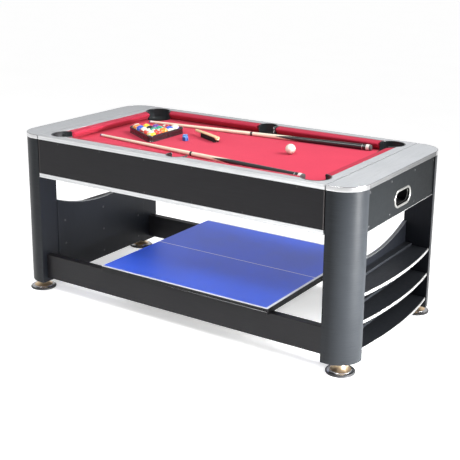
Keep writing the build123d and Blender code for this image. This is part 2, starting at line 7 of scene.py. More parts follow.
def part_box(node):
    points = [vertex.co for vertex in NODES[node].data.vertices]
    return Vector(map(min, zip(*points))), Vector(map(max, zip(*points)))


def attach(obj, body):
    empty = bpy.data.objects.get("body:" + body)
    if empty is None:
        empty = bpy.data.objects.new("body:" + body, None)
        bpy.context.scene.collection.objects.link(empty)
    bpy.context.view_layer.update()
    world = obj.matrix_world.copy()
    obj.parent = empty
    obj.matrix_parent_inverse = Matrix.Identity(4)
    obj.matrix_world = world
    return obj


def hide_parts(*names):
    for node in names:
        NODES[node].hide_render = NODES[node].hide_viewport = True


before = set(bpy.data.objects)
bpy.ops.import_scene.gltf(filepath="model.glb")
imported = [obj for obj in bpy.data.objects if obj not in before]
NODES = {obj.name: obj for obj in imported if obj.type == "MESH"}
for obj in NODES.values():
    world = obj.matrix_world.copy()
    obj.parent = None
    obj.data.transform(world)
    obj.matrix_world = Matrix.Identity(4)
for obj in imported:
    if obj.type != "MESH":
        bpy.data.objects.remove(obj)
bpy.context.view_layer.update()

MM = 0.001


# ------------------------------------------------------------------ materials
class Mat:
    """A node material: a principled shader with helpers for procedural detail."""

    def __init__(self, name):
        self.m = bpy.data.materials.new(name)
        self.m.use_nodes = True
        self.t = self.m.node_tree
        self.t.nodes.clear()
        self.b = self.t.nodes.new("ShaderNodeBsdfPrincipled")
        out = self.t.nodes.new("ShaderNodeOutputMaterial")
        self.t.links.new(self.b.outputs[0], out.inputs[0])
        self.tc = self.t.nodes.new("ShaderNodeTexCoord")

    def set(self, **kw):
        for k, v in kw.items():
            self.b.inputs[k.replace("_", " ")].default_value = v
        return self

    def link(self, a, b):
        self.t.links.new(a, b)

    def noise(self, scale, stretch=(1, 1, 1), detail=3.0, rough=0.55, offset=(0, 0, 0)):
        mp = self.t.nodes.new("ShaderNodeMapping")
        mp.inputs["Scale"].default_value = stretch
        mp.inputs["Location"].default_value = offset
        self.link(self.tc.outputs["Object"], mp.inputs["Vector"])
        n = self.t.nodes.new("ShaderNodeTexNoise")
        n.inputs["Scale"].default_value = scale
        n.inputs["Detail"].default_value = detail
        n.inputs["Roughness"].default_value = rough
        self.link(mp.outputs[0], n.inputs["Vector"])
        return n.outputs["Fac"]

    def math(self, op, a, b=None, c=None):
        n = self.t.nodes.new("ShaderNodeMath")
        n.operation = op
        for i, v in enumerate((a, b, c)):
            if v is None:
                continue
            if isinstance(v, (int, float)):
                n.inputs[i].default_value = v
            else:
                self.link(v, n.inputs[i])
        return n.outputs[0]

    def ramp(self, fac, stops):
        n = self.t.nodes.new("ShaderNodeValToRGB")
        r = n.color_ramp
        while len(r.elements) < len(stops):
            r.elements.new(0.5)
        for e, (p, c) in zip(r.elements, stops):
            e.position = p
            e.color = (*c, 1) if len(c) == 3 else c
        self.link(fac, n.inputs[0])
        return n.outputs[0]

    def mix(self, fac, a, b):
        n = self.t.nodes.new("ShaderNodeMix")
        n.data_type = "RGBA"
        if isinstance(fac, (int, float)):
            n.inputs[0].default_value = fac
        else:
            self.link(fac, n.inputs[0])
        for i, v in ((6, a), (7, b)):
            if isinstance(v, tuple):
                n.inputs[i].default_value = (*v, 1)
            else:
                self.link(v, n.inputs[i])
        return n.outputs[2]

    def range(self, fac, lo, hi, frm=(0.3, 0.7)):
        n = self.t.nodes.new("ShaderNodeMapRange")
        n.inputs[1].default_value, n.inputs[2].default_value = frm
        n.inputs[3].default_value, n.inputs[4].default_value = lo, hi
        self.link(fac, n.inputs[0])
        return n.outputs[0]

    def bump(self, height, strength, distance, prev=None):
        n = self.t.nodes.new("ShaderNodeBump")
        n.inputs["Strength"].default_value = strength
        n.inputs["Distance"].default_value = distance
        self.link(height, n.inputs["Height"])
        if prev is not None:
            self.link(prev, n.inputs["Normal"])
        self.link(n.outputs[0], self.b.inputs["Normal"])
        return n.outputs[0]

    def xyz(self, which="Object"):
        n = self.t.nodes.new("ShaderNodeSeparateXYZ")
        self.link(self.tc.outputs[which], n.inputs[0])
        return n.outputs


def board(name, dark, light, rough, stretch, scale=1.0, metal=0.0, spec=0.5, bump=0.12, coat=0.0):
    """Laminate on board: fine directional grain, slow cloudiness, small scuffs in the gloss."""
    m = Mat(name).set(Metallic=metal, Specular_IOR_Level=spec, Coat_Weight=coat, Coat_Roughness=0.2)
    fine = m.noise(scale, stretch, 4.0, 0.6)
    slow = m.noise(3.5, (1, 1, 1), 2.0, 0.5)
    scuff = m.noise(60, (1, 1, 1), 5.0, 0.7, (3, 1, 7))
    col = m.ramp(fine, [(0.32, dark), (0.68, light)])
    k = m.range(slow, 0.0, 0.22)
    col = m.mix(k, col, tuple(c * 0.78 for c in dark))
    m.link(col, m.b.inputs["Base Color"])
    r = m.math("ADD", m.range(fine, rough - 0.05, rough + 0.05), m.range(scuff, -0.03, 0.05))
    m.link(r, m.b.inputs["Roughness"])
    m.bump(fine, bump, 0.0002)
    return m.m


def metal(name, color, rough, stretch=(1, 1, 1), scale=900, bump=0.05, var=0.06, metallic=1.0):
    m = Mat(name).set(Metallic=metallic)
    fine = m.noise(scale, stretch, 3.0, 0.6)
    slow = m.noise(9, (1, 1, 1), 3.0, 0.6)
    col = m.ramp(slow, [(0.3, tuple(c * (1 - var) for c in color)), (0.7, color)])
    m.link(col, m.b.inputs["Base Color"])
    m.link(m.math("ADD", m.range(fine, rough * 0.8, rough * 1.25), m.range(slow, 0.0, 0.04)), m.b.inputs["Roughness"])
    m.bump(fine, bump, 0.0001)
    return m.m


def plastic(name, color, rough, grain=1400, bump=0.08, coat=0.0, var=0.12, spec=0.5):
    m = Mat(name).set(Specular_IOR_Level=spec, Coat_Weight=coat, Coat_Roughness=0.08)
    fine = m.noise(grain, (1, 1, 1), 2.0, 0.5)
    slow = m.noise(22, (1, 1, 1), 4.0, 0.65)
    col = m.ramp(slow, [(0.3, tuple(c * (1 - var) for c in color)), (0.7, color)])
    m.link(col, m.b.inputs["Base Color"])
    m.link(m.math("ADD", m.range(slow, rough * 0.85, rough * 1.2), m.range(fine, -0.02, 0.02)), m.b.inputs["Roughness"])
    m.bump(fine, bump, 0.00012)
    return m.m


def cloth_mat(name, dark, light):
    """Napped cloth: a fine twill under a short directional pile."""
    m = Mat(name).set(Specular_IOR_Level=0.1, Sheen_Weight=0.08, Sheen_Roughness=0.45, Sheen_Tint=(1, 0.62, 0.68, 1))
    pile = m.noise(1.0, (420, 1500, 900), 3.0, 0.65)
    fibre = m.noise(2600, (1, 1, 1), 2.0, 0.6)
    slow = m.noise(5, (1, 1, 1), 3.0, 0.6)
    col = m.ramp(pile, [(0.3, dark), (0.7, light)])
    col = m.mix(m.range(slow, 0.0, 0.3), col, tuple(c * 0.9 for c in dark))
    col = m.mix(m.range(fibre, 0.0, 0.2, (0.55, 0.8)), col, tuple(min(1, c * 1.25 + 0.02) for c in light))
    m.link(col, m.b.inputs["Base Color"])
    m.link(m.range(pile, 0.88, 1.0), m.b.inputs["Roughness"])
    n = m.bump(pile, 0.35, 0.0003)
    m.bump(fibre, 0.25, 0.00015, n)
    return m.m


POST = board("charcoal_laminate", (0.012, 0.0136, 0.0158), (0.020, 0.0226, 0.0258), 0.33, (14, 14, 900), spec=0.13, bump=0.06)
# End apron laminate: the post charcoal laminate darkened to under half, as painted shade on the end aprons where the
# strip lamp falls on them.
END_BOARD_SHADED = board("charcoal_laminate_end_shaded", (0.0048, 0.0056, 0.0062), (0.0088, 0.010, 0.011), 0.40, (500, 14, 700), spec=0.04, bump=0.06)
BLACK_X = board("black_laminate_x", (0.0085, 0.0082, 0.0095), (0.0135, 0.013, 0.015), 0.40, (14, 500, 700), spec=0.2)
BLACK_Y = board("black_laminate_y", (0.009, 0.010, 0.012), (0.014, 0.0155, 0.019), 0.42, (500, 14, 700), spec=0.2)
NAVY = board("black_laminate_z", (0.0038, 0.0045, 0.0064), (0.0066, 0.0078, 0.0105), 0.40, (500, 500, 14), spec=0.16)
SILVER_Y = board("silver_laminate_y", (0.31, 0.322, 0.340), (0.42, 0.433, 0.450), 0.42, (520, 9, 520), bump=0.08)
SILVER_X = board("silver_laminate_x", (0.33, 0.338, 0.355), (0.42, 0.428, 0.445), 0.42, (9, 520, 520), bump=0.08)
TRIM = metal("ridged_aluminium", (0.72, 0.73, 0.74), 0.34, (8, 900, 900), 1.0)
# End edge trims: the same ridged aluminium as the side trims darkened to about a quarter, as painted shade on the
# table's ends.
TRIM_Y_SHADED = metal("ridged_aluminium_y_shaded", (0.19, 0.193, 0.196), 0.44, (900, 8, 900), 1.0)
EDGE = metal("edge_moulding", (0.25, 0.25, 0.25), 0.50, (900, 8, 900), 1.0, metallic=0.3)
PANEL_EDGE = metal("panel_edging", (0.16, 0.165, 0.17), 0.35, (900, 8, 900), 1.0, metallic=0.5)
CHROME = metal("bright_chrome", (0.66, 0.66, 0.67), 0.19, scale=700, bump=0.02, var=0.03)
BRASS = metal("polished_brass", (0.90, 0.67, 0.43), 0.34, scale=700, bump=0.03)
STEEL = metal("zinc_steel", (0.56, 0.57, 0.58), 0.32, scale=1300, bump=0.08, var=0.15)
SCREW = metal("black_zinc_screw", (0.06, 0.06, 0.063), 0.42, scale=1300, bump=0.05, var=0.2)
RUBBER = plastic("black_rubber", (0.022, 0.022, 0.024), 0.62, 900, 0.2)
LINER = plastic("glossy_liner", (0.022, 0.026, 0.029), 0.36, 1000, 0.04, coat=0.2, spec=0.6)
TRAY = plastic("moulded_black", (0.02, 0.02, 0.022), 0.42, 1500, 0.12)
RACK = plastic("rack_moulding", (0.018, 0.017, 0.019), 0.24, 1300, 0.06, coat=0.3)
NYLON = plastic("natural_nylon", (0.74, 0.72, 0.66), 0.42, 1500, 0.08)
IVORY = plastic("ivory_resin", (0.76, 0.73, 0.62), 0.09, 1800, 0.01, coat=0.7, var=0.03)
INK = plastic("ball_figure", (0.012, 0.012, 0.012), 0.16, 1800, 0.01)
CLOTH = cloth_mat("red_cloth", (0.52, 0.036, 0.075), (0.64, 0.055, 0.100))
# Cushion cloth: the table cloth's red darkened by about a third, as painted shade on the cushions' tops and noses.
CUSHION_SHADED = cloth_mat("cushion_cloth_shaded", (0.36, 0.020, 0.046), (0.46, 0.034, 0.068))
CHALK = plastic("chalk_face", (0.17, 0.40, 0.78), 0.95, 2600, 0.5, var=0.25, spec=0.1)
CHALK_WRAP = plastic("chalk_wrapper", (0.03, 0.09, 0.34), 0.5, 1800, 0.1)
BRISTLE = plastic("black_bristle", (0.012, 0.012, 0.013), 0.55, 3000, 0.3)
LEATHER = plastic("tip_leather", (0.10, 0.16, 0.30), 0.8, 3000, 0.4, var=0.3)
FERRULE = plastic("white_ferrule", (0.84, 0.83, 0.78), 0.3, 2000, 0.02)
BUMPER = plastic("grey_rubber", (0.12, 0.12, 0.125), 0.6, 1500, 0.15)
BUTT = plastic("black_lacquer", (0.012, 0.013, 0.014), 0.16, 900, 0.03, coat=0.6)
MDF = plastic("bare_board", (0.38, 0.27, 0.17), 0.8, 700, 0.3, var=0.25)


def maple():
    m = Mat("cue_maple").set(Coat_Weight=0.6, Coat_Roughness=0.12)
    grain = m.noise(1.0, (9, 420, 420), 5.0, 0.65)
    flame = m.noise(1.0, (110, 60, 60), 2.0, 0.5, (2, 0, 0))
    col = m.ramp(grain, [(0.25, (0.66, 0.53, 0.38)), (0.5, (0.84, 0.78, 0.61)), (0.8, (0.90, 0.86, 0.71))])
    col = m.mix(m.range(flame, 0.0, 0.12), col, (0.66, 0.52, 0.36))
    m.link(col, m.b.inputs["Base Color"])
    m.link(m.range(grain, 0.24, 0.34), m.b.inputs["Roughness"])
    m.bump(grain, 0.06, 0.0001)
    return m.m


def splice(x0, x1):
    """Pale forearm with long black points that grow out of the butt."""
    m = Mat("cue_spliced").set(Coat_Weight=0.6, Coat_Roughness=0.12)
    grain = m.noise(1.0, (9, 420, 420), 5.0, 0.65)
    pale = m.ramp(grain, [(0.25, (0.70, 0.57, 0.42)), (0.55, (0.84, 0.75, 0.60)), (0.85, (0.90, 0.82, 0.69))])
    x, y, z = m.xyz()
    turn = m.math("ARCTAN2", z, y)
    saw = m.math("FRACT", m.math("ADD", m.math("MULTIPLY", turn, 2 / (2 * pi)), 0.62))
    tri = m.math("MULTIPLY", m.math("ABSOLUTE", m.math("SUBTRACT", saw, 0.5)), 2.0)
    run = m.math("DIVIDE", m.math("SUBTRACT", x, x0), x1 - x0)
    k = m.math("GREATER_THAN", run, tri)
    m.link(m.mix(k, pale, (0.012, 0.012, 0.013)), m.b.inputs["Base Color"])
    m.link(m.range(grain, 0.18, 0.28), m.b.inputs["Roughness"])
    return m.m


def oak():
    m = Mat("brush_handle").set(Coat_Weight=0.3, Coat_Roughness=0.25)
    grain = m.noise(1.0, (12, 500, 500), 5.0, 0.65)
    col = m.ramp(grain, [(0.25, (0.52, 0.34, 0.15)), (0.55, (0.76, 0.58, 0.32)), (0.85, (0.86, 0.72, 0.46))])
    m.link(col, m.b.inputs["Base Color"])
    m.link(m.range(grain, 0.35, 0.5), m.b.inputs["Roughness"])
    m.bump(grain, 0.15, 0.0002)
    return m.m


MAPLE, OAK = maple(), oak()


def tennis_mat(name, node, edge, turn=0.0):
    """Painted half top: blue with white border lines on three sides and a centre line."""
    lo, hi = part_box(node)
    cx, cy = (lo.x + hi.x) / 2, (lo.y + hi.y) / 2
    a = radians(turn)
    hx, hy = 0.459, 0.444
    m = Mat(name).set(Specular_IOR_Level=0.6, Coat_Weight=0.15, Coat_Roughness=0.3)
    x, y, z = m.xyz()
    nz = m.xyz("Normal")[2]
    dx, dy = m.math("SUBTRACT", x, cx), m.math("SUBTRACT", y, cy)
    u = m.math("ADD", m.math("MULTIPLY", dx, cos(a)), m.math("MULTIPLY", dy, sin(a)))
    v = m.math("ADD", m.math("MULTIPLY", dy, cos(a)), m.math("MULTIPLY", dx, -sin(a)))
    side = m.math("GREATER_THAN", m.math("ABSOLUTE", v), hy - 0.013)
    end = m.math("GREATER_THAN", u, hx - 0.013)
    mid = m.math("LESS_THAN", m.math("ABSOLUTE", v), 0.0023)
    line = m.math("MAXIMUM", m.math("MAXIMUM", side, end), mid)
    fine = m.noise(900, (1, 1, 1), 2.0, 0.5)
    slow = m.noise(4, (1, 1, 1), 3.0, 0.55)
    blue = m.ramp(slow, [(0.3, (0.020, 0.092, 0.66)), (0.7, (0.026, 0.112, 0.78))])
    white = m.ramp(fine, [(0.3, (0.74, 0.75, 0.76)), (0.7, (0.82, 0.82, 0.83))])
    top = m.mix(line, blue, white)
    face = m.math("GREATER_THAN", nz, 0.5)
    m.link(m.mix(face, edge, top), m.b.inputs["Base Color"])
    m.link(m.math("ADD", m.range(fine, 0.27, 0.33), m.range(slow, 0.0, 0.06)), m.b.inputs["Roughness"])
    m.bump(fine, 0.05, 0.00008)
    return m.m


def hockey_mat():
    """Slick white field, seen from below at rest, with its generic court lines."""
    m = Mat("hockey_field").set(Specular_IOR_Level=0.6, Coat_Weight=0.5, Coat_Roughness=0.08)
    x, y, z = m.xyz()
    r = m.math("SQRT", m.math("ADD", m.math("MULTIPLY", x, x), m.math("MULTIPLY", y, y)))
    ax = m.math("ABSOLUTE", x)
    centre = m.math("LESS_THAN", ax, 0.004)
    ring = m.math("LESS_THAN", m.math("ABSOLUTE", m.math("SUBTRACT", r, 0.115)), 0.0028)
    dot = m.math("LESS_THAN", r, 0.012)
    gx = m.math("SUBTRACT", ax, 0.728)
    gr = m.math("SQRT", m.math("ADD", m.math("MULTIPLY", gx, gx), m.math("MULTIPLY", y, y)))
    crease = m.math("LESS_THAN", m.math("ABSOLUTE", m.math("SUBTRACT", gr, 0.165)), 0.0028)
    blue = m.math("LESS_THAN", m.math("ABSOLUTE", m.math("SUBTRACT", ax, 0.29)), 0.004)
    red = m.math("MAXIMUM", m.math("MAXIMUM", centre, ring), m.math("MAXIMUM", dot, crease))
    slow = m.noise(6, (1, 1, 1), 4.0, 0.6)
    base = m.ramp(slow, [(0.3, (0.78, 0.80, 0.82)), (0.7, (0.86, 0.87, 0.88))])
    col = m.mix(blue, base, (0.03, 0.12, 0.55))
    col = m.mix(red, col, (0.62, 0.02, 0.03))
    down = m.math("LESS_THAN", m.xyz("Normal")[2], -0.5)
    m.link(m.mix(down, (0.34, 0.25, 0.16), col), m.b.inputs["Base Color"])
    m.link(m.range(slow, 0.14, 0.24), m.b.inputs["Roughness"])
    return m.m


# ------------------------------------------------------------------ mesh helpers
class Geo:
    """Gathers vertices, faces and a material index for each face."""

    def __init__(self):
        self.v, self.f, self.m = [], [], []

    def add(self, verts, faces, mat=0, M=None):
        k = len(self.v)
        for p in verts:
            p = Vector(p)
            self.v.append(tuple(M @ p if M is not None else p))
        for q in faces:
            self.f.append(tuple(i + k for i in q))
        self.m += [mat] * len(faces) if isinstance(mat, int) else list(mat)
        return self


def lathe(prof, segs=64):
    """Revolves (r, z, material) points about Z; a material holds for the band after its point."""
    verts, rings, faces, mats = [], [], [], []
    for r, z, _ in prof:
        if r < 1e-7:
            rings.append([len(verts)])
            verts.append((0, 0, z))
        else:
            rings.append(list(range(len(verts), len(verts) + segs)))
            verts += [(r * cos(2 * pi * i / segs), r * sin(2 * pi * i / segs), z) for i in range(segs)]
    for k in range(len(prof) - 1):
        a, b = rings[k], rings[k + 1]
        for i in range(segs):
            j = (i + 1) % segs
            if len(a) == 1 and len(b) == 1:
                continue
            if len(a) == 1:
                faces.append((a[0], b[i], b[j]))
            elif len(b) == 1:
                faces.append((a[i], a[j], b[0]))
            else:
                faces.append((a[i], a[j], b[j], b[i]))
            mats.append(prof[k][2])
    return verts, faces, mats


def loft(sections, closed_path=False, cap=True):
    """Joins closed sections, lists of points of one length, into a skin with its ends capped."""
    n = len(sections[0])
    verts = [p for s in sections for p in s]
    faces = []
    m = len(sections)
    for k in range(m if closed_path else m - 1):
        a, b = k * n, ((k + 1) % m) * n
        for i in range(n):
            j = (i + 1) % n
            faces.append((a + i, a + j, b + j, b + i))
    if cap and not closed_path:
        faces.append(tuple(range(n - 1, -1, -1)))
        faces.append(tuple(range((m - 1) * n, m * n)))
    return verts, faces


def inset(outline, d):
    """Moves a closed 2-D outline, counter-clockwise, inwards by d."""
    out, n = [], len(outline)
    for i in range(n):
        p0, p1, p2 = Vector(outline[i - 1]), Vector(outline[i]), Vector(outline[(i + 1) % n])
        a, b = (p1 - p0).normalized(), (p2 - p1).normalized()
        na, nb = Vector((-a.y, a.x)), Vector((-b.y, b.x))
        t = (na + nb)
        t = t / max(0.2, t.length_squared) * 2
        out.append(tuple(p1 + t * d))
    return out


def slab(outline, z0, z1, r=0.0006, steps=3):
    """An outline raised from z0 to z1 with rounded edges, as sections for loft."""
    secs = []
    for i in range(steps + 1):
        a = pi / 2 * i / steps
        o = inset(outline, r * (1 - sin(a)))
        secs.append([(x, y, z0 + r * (1 - cos(a))) for x, y in o])
    for i in range(steps + 1):
        a = pi / 2 * i / steps
        o = inset(outline, r * (1 - cos(a)))
        secs.append([(x, y, z1 - r * (1 - sin(a))) for x, y in o])
    return secs


def rounded(w, h, r, n=6, cx=0.0, cy=0.0):
    pts = []
    for sx, sy, a0 in ((1, 1, 0), (-1, 1, 90), (-1, -1, 180), (1, -1, 270)):
        for i in range(n + 1):
            a = radians(a0 + 90 * i / n)
            pts.append((cx + sx * (w / 2 - r) + r * cos(a), cy + sy * (h / 2 - r) + r * sin(a)))
    return pts


def make(name, geo, mats, body, repl=(), angle=35.0, matrix=None):
    """A new piece from a Geo, with outward normals, smooth but for its sharp edges."""
    me = bpy.data.meshes.new(name)
    me.from_pydata(geo.v, [], geo.f)
    for m in mats:
        me.materials.append(m)
    me.polygons.foreach_set("material_index", np.array(geo.m, np.int32))
    b = bmesh.new()
    b.from_mesh(me)
    bmesh.ops.recalc_face_normals(b, faces=b.faces)
    b.to_mesh(me)
    b.free()
    me.polygons.foreach_set("use_smooth", np.ones(len(me.polygons), bool))
    me.set_sharp_from_angle(angle=radians(angle))
    me.update()
    o = bpy.data.objects.new(name, me)
    bpy.context.scene.collection.objects.link(o)
    if matrix is not None:
        o.matrix_world = matrix
    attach(o, body)
    if repl:
        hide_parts(*((repl,) if isinstance(repl, str) else repl))
    return o


def comps(node):
    """Lowest and highest corner of each separate solid of a CAD node."""
    me = NODES[node].data
    co = np.array([v.co for v in me.vertices], float)
    key = {}
    idx = np.empty(len(co), int)
    for i, c in enumerate(np.round(co, 5)):
        idx[i] = key.setdefault(tuple(c), len(key))
    parent = list(range(len(key)))

    def root(a):
        while parent[a] != a:
            parent[a] = parent[parent[a]]
            a = parent[a]
        return a

    for e in me.edges:
        a, b = root(idx[e.vertices[0]]), root(idx[e.vertices[1]])
        if a != b:
            parent[a] = b
    groups = {}
    for i in range(len(co)):
        groups.setdefault(root(idx[i]), []).append(i)
    out = [(Vector(co[g].min(0)), Vector(co[g].max(0))) for g in groups.values()]
    return sorted(out, key=lambda p: (round(p[0].x, 4), round(p[0].y, 4), round(p[0].z, 4)))


def axis_of(node, flat=False):
    """Start, end of the long axis of a CAD node, from its vertices; the start is at low X."""
    co = np.array([v.co for v in NODES[node].data.vertices], float)
    co = np.unique(np.round(co, 6), axis=0)
    c = co.mean(0)
    w, v = np.linalg.eigh(np.cov((co - c).T))
    d = v[:, -1] * (1 if v[0, -1] > 0 else -1)
    if flat:
        d[2] = 0
        d /= np.linalg.norm(d)
    s = (co - c) @ d
    return Vector(c + d * s.min()), Vector(c + d * s.max())


def frame_along(a, b):
    """Matrix with its origin at a and +X towards b."""
    x = (b - a).normalized()
    y = Vector((0, 0, 1)).cross(x).normalized()
    z = x.cross(y)
    M = Matrix.Identity(4)
    for i in range(3):
        M[i][0], M[i][1], M[i][2], M[i][3] = x[i], y[i], z[i], a[i]
    return M


def softened(o, width, segments=2, angle=40):
    """Small rounded edges on a CAD board: weld the split corners, bevel, even the normals."""
    w = o.modifiers.new("weld", "WELD")
    w.merge_threshold = 1e-5
    b = o.modifiers.new("edge", "BEVEL")
    b.width = width
    b.segments = segments
    b.limit_method = "ANGLE"
    b.angle_limit = radians(angle)
    n = o.modifiers.new("normals", "WEIGHTED_NORMAL")
    n.keep_sharp = False
    n.weight = 60


def paint(material, *names):
    for n in names:
        o = NODES[n]
        o.data.materials.clear()
        o.data.materials.append(material)


# ------------------------------------------------------------------ CAD boards and metal
paint(SILVER_Y, "end_top_left", "end_top_right", "pool_rail_ends")
paint(SILVER_X, "pool_rail_front", "pool_rail_back", "hockey_rails")
paint(BLACK_X, "apron_front", "apron_back", "stretcher_front", "stretcher_back")
paint(BLACK_Y, "box_ends", "bearing_boards", "shelves_left", "shelves_right", "shelf_battens")
paint(END_BOARD_SHADED, "end_apron_left", "end_apron_right")
paint(NAVY, "end_panel_left", "end_panel_right")
paint(TRIM, "side_edge_trims")
paint(TRIM_Y_SHADED, "end_edge_trims")
paint(EDGE, "apron_edge_strips", "shelf_edge_trims")
paint(PANEL_EDGE, "end_panel_trims")
paint(MDF, "pool_bed")
paint(hockey_mat(), "hockey_bed")
paint(TRAY, "puck_trays")
paint(STEEL, "pivot_pins", "leveler_inserts", "lock_bolt_left", "lock_bolt_right")
paint(NYLON, "pivot_bushes", "lock_guides")
paint(tennis_mat("tennis_upper", "tennis_top_upper", (0.014, 0.014, 0.016)), "tennis_top_upper")
paint(tennis_mat("tennis_lower", "tennis_top_lower", (0.016, 0.016, 0.018), -0.3), "tennis_top_lower")
TOP_EDGE = plastic("tennis_black_edge", (0.009, 0.009, 0.010), 0.5, 1200, 0.1, spec=0.2)
for n in ("tennis_top_upper", "tennis_top_lower"):
    d = NODES[n].data
    d.materials.append(TOP_EDGE)
    for p in d.polygons:
        p.material_index = 0 if p.normal.z > 0.5 else 1
for n, w in (("end_top_left", 0.7), ("end_top_right", 0.7), ("apron_front", 0.8), ("apron_back", 0.8), ("stretcher_front", 1.2),
             ("stretcher_back", 1.2), ("shelves_left", 0.5), ("shelves_right", 0.5), ("end_panel_left", 0.6), ("end_panel_right", 0.6),
             ("end_apron_left", 0.6), ("end_apron_right", 0.6), ("tennis_top_upper", 0.6), ("tennis_top_lower", 0.6),
             ("shelf_battens", 0.9), ("apron_edge_strips", 0.4), ("shelf_edge_trims", 0.7), ("box_ends", 0.4),
             ("lock_guides", 0.6), ("puck_trays", 0.6), ("bearing_boards", 0.4)):
    softened(NODES[n], w * MM)

# ------------------------------------------------------------------ corner posts
lo_r, hi_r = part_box("post_front_right")
X_IN, Y_OUT, X_OUT, Y_IN = lo_r.x, lo_r.y, hi_r.x, hi_r.y
R_POST = 0.110


def post_piece(node, sx, sy):
    """Round-fronted post: a wrapped outer face, plain inner faces, a shallow foot plate."""
    lo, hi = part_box(node)
    ax, ay = X_OUT - R_POST, Y_OUT + R_POST
    pts, kind = [], []
    n = 40
    for i in range(n + 1):
        a = -pi / 2 + pi / 2 * i / n
        pts.append((ax + R_POST * cos(a), ay + R_POST * sin(a)))
    pts += [(X_OUT, Y_IN), (X_IN, Y_IN), (X_IN, Y_OUT)]
    if Y_IN < ay:
        pts = [p for p in pts[:n + 1] if p[1] < Y_IN - 1e-4] + [(ax + sqrt(R_POST ** 2 - (Y_IN - ay) ** 2), Y_IN), (X_IN, Y_IN), (X_IN, Y_OUT)]
    base = pts
    g = Geo()
    top, low = hi.z, lo.z
    secs = []
    for z, d in ((low, 0.0022), (low + 0.0006, 0.0008), (low + 0.0016, 0.0002), (low + 0.003, 0.0), (low + 0.20, 0.0), (low + 0.45, 0.0), (top, 0.0)):
        secs.append([(sx * x, sy * -y, z) for x, y in inset(base, d)])
    v, f = loft(secs)
    k = len(base)
    mats = []
    for q in f[:-2]:
        i = q[0] % k
        j = q[1] % k
        inner = (i >= k - 3 and j >= k - 3) or (i == k - 3 and j == k - 2)
        mats.append(1 if inner else 0)
    mats += [1, 1]
    g.add(v, f, mats)
    # foot plate round the sleeve
    cx, cy = (sx * 0.842, sy * 0.392)
    v, f, mm = lathe([(0.0092, low - 0.0, 0), (0.0225, low - 0.0002, 0), (0.024, low - 0.0014, 0), (0.024, low - 0.0018, 0), (0.0092, low - 0.0024, 0)], 40)
    g.add([(x + cx, y + cy, z) for x, y, z in v], f, 2)
    return make(node + "_wrap", g, [POST, NAVY, STEEL], "frame", node, 30)


for node, sx, sy in (("post_front_right", 1, -1), ("post_front_left", -1, -1), ("post_back_right", 1, 1), ("post_back_left", -1, 1)):
    post_piece(node, sx, sy)

# ------------------------------------------------------------------ bright corner trims
lo_t, hi_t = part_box("end_top_right")
lo_c, hi_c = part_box("corner_trims")
g = Geo()
t_out = hi_c.x - hi_t.x
for sx in (1, -1):
    for sy in (1, -1):
        z0, z1 = lo_c.z, hi_c.z
        ax, ay = hi_t.x - R_POST, hi_t.y - R_POST
        path = [(lo_t.x + 0.0003 + (ax - lo_t.x) * i / 4, hi_t.y, 0.0, 1.0) for i in range(5)]
        path += [(ax + R_POST * sin(a), ay + R_POST * cos(a), sin(a), cos(a)) for a in [pi / 2 * i / 36 for i in range(1, 37)]]
        h = z1 - z0
        prof = [(-0.003, 0.0), (t_out * 0.55, 0.0), (t_out * 0.85, h * 0.05), (t_out * 0.97, h * 0.16), (t_out, h * 0.35), (t_out, h * 0.62),
                (t_out * 0.95, h * 0.82), (t_out * 0.75, h * 0.94), (t_out * 0.4, h * 0.995), (0.0, h + 0.00005), (-0.0016, h + 0.0001), (-0.0018, h - 0.001), (-0.003, h - 0.001)]
        secs = [[(sx * (x + nx * d), sy * (y + ny * d), z0 + dz) for d, dz in prof] for x, y, nx, ny in path]
        v, f = loft(secs)
        g.add(v, f)
make("corner_trims_bright", g, [CHROME], "frame", "corner_trims", 50)

# ------------------------------------------------------------------ window bezels
lo_w, hi_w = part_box("window_bezels")
wz = (lo_w.z + hi_w.z) / 2
half_w, half_h = (hi_w.y - lo_w.y) / 2, (hi_w.z - lo_w.z) / 2
bw = 0.0105
rc = half_h - 0.0018 - bw / 2
g = Geo()
for sx in (1, -1):
    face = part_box("end_apron_right")[1].x
    path = []
    for cyy, a0 in ((half_w - half_h, -90), (-(half_w - half_h), 90)):
        for i in range(25):
            a = radians(a0 + 180 * i / 24)
            path.append((cyy + rc * cos(a), wz + rc * sin(a), cos(a), sin(a)))
    prof = [(-bw / 2 - 0.001, -0.012), (-bw / 2, 0.0006), (-bw / 2 + 0.0008, 0.0024), (-bw / 2 + 0.003, 0.0036), (0, 0.004), (bw / 2 - 0.003, 0.0036),
            (bw / 2 - 0.0008, 0.0024), (bw / 2, 0.0004), (bw / 2, 0.0), (-bw / 2 + 0.0022, -0.0003), (-bw / 2 + 0.0022, -0.012)]
    secs = [[(sx * (face + e), y + ny * d, z + nz * d) for d, e in prof] for y, z, ny, nz in path]
    v, f = loft(secs, True)
    g.add(v, f)
make("window_bezels_bead", g, [metal("satin_bezel", (0.36, 0.36, 0.345), 0.36, scale=900)], "frame", "window_bezels", 60)


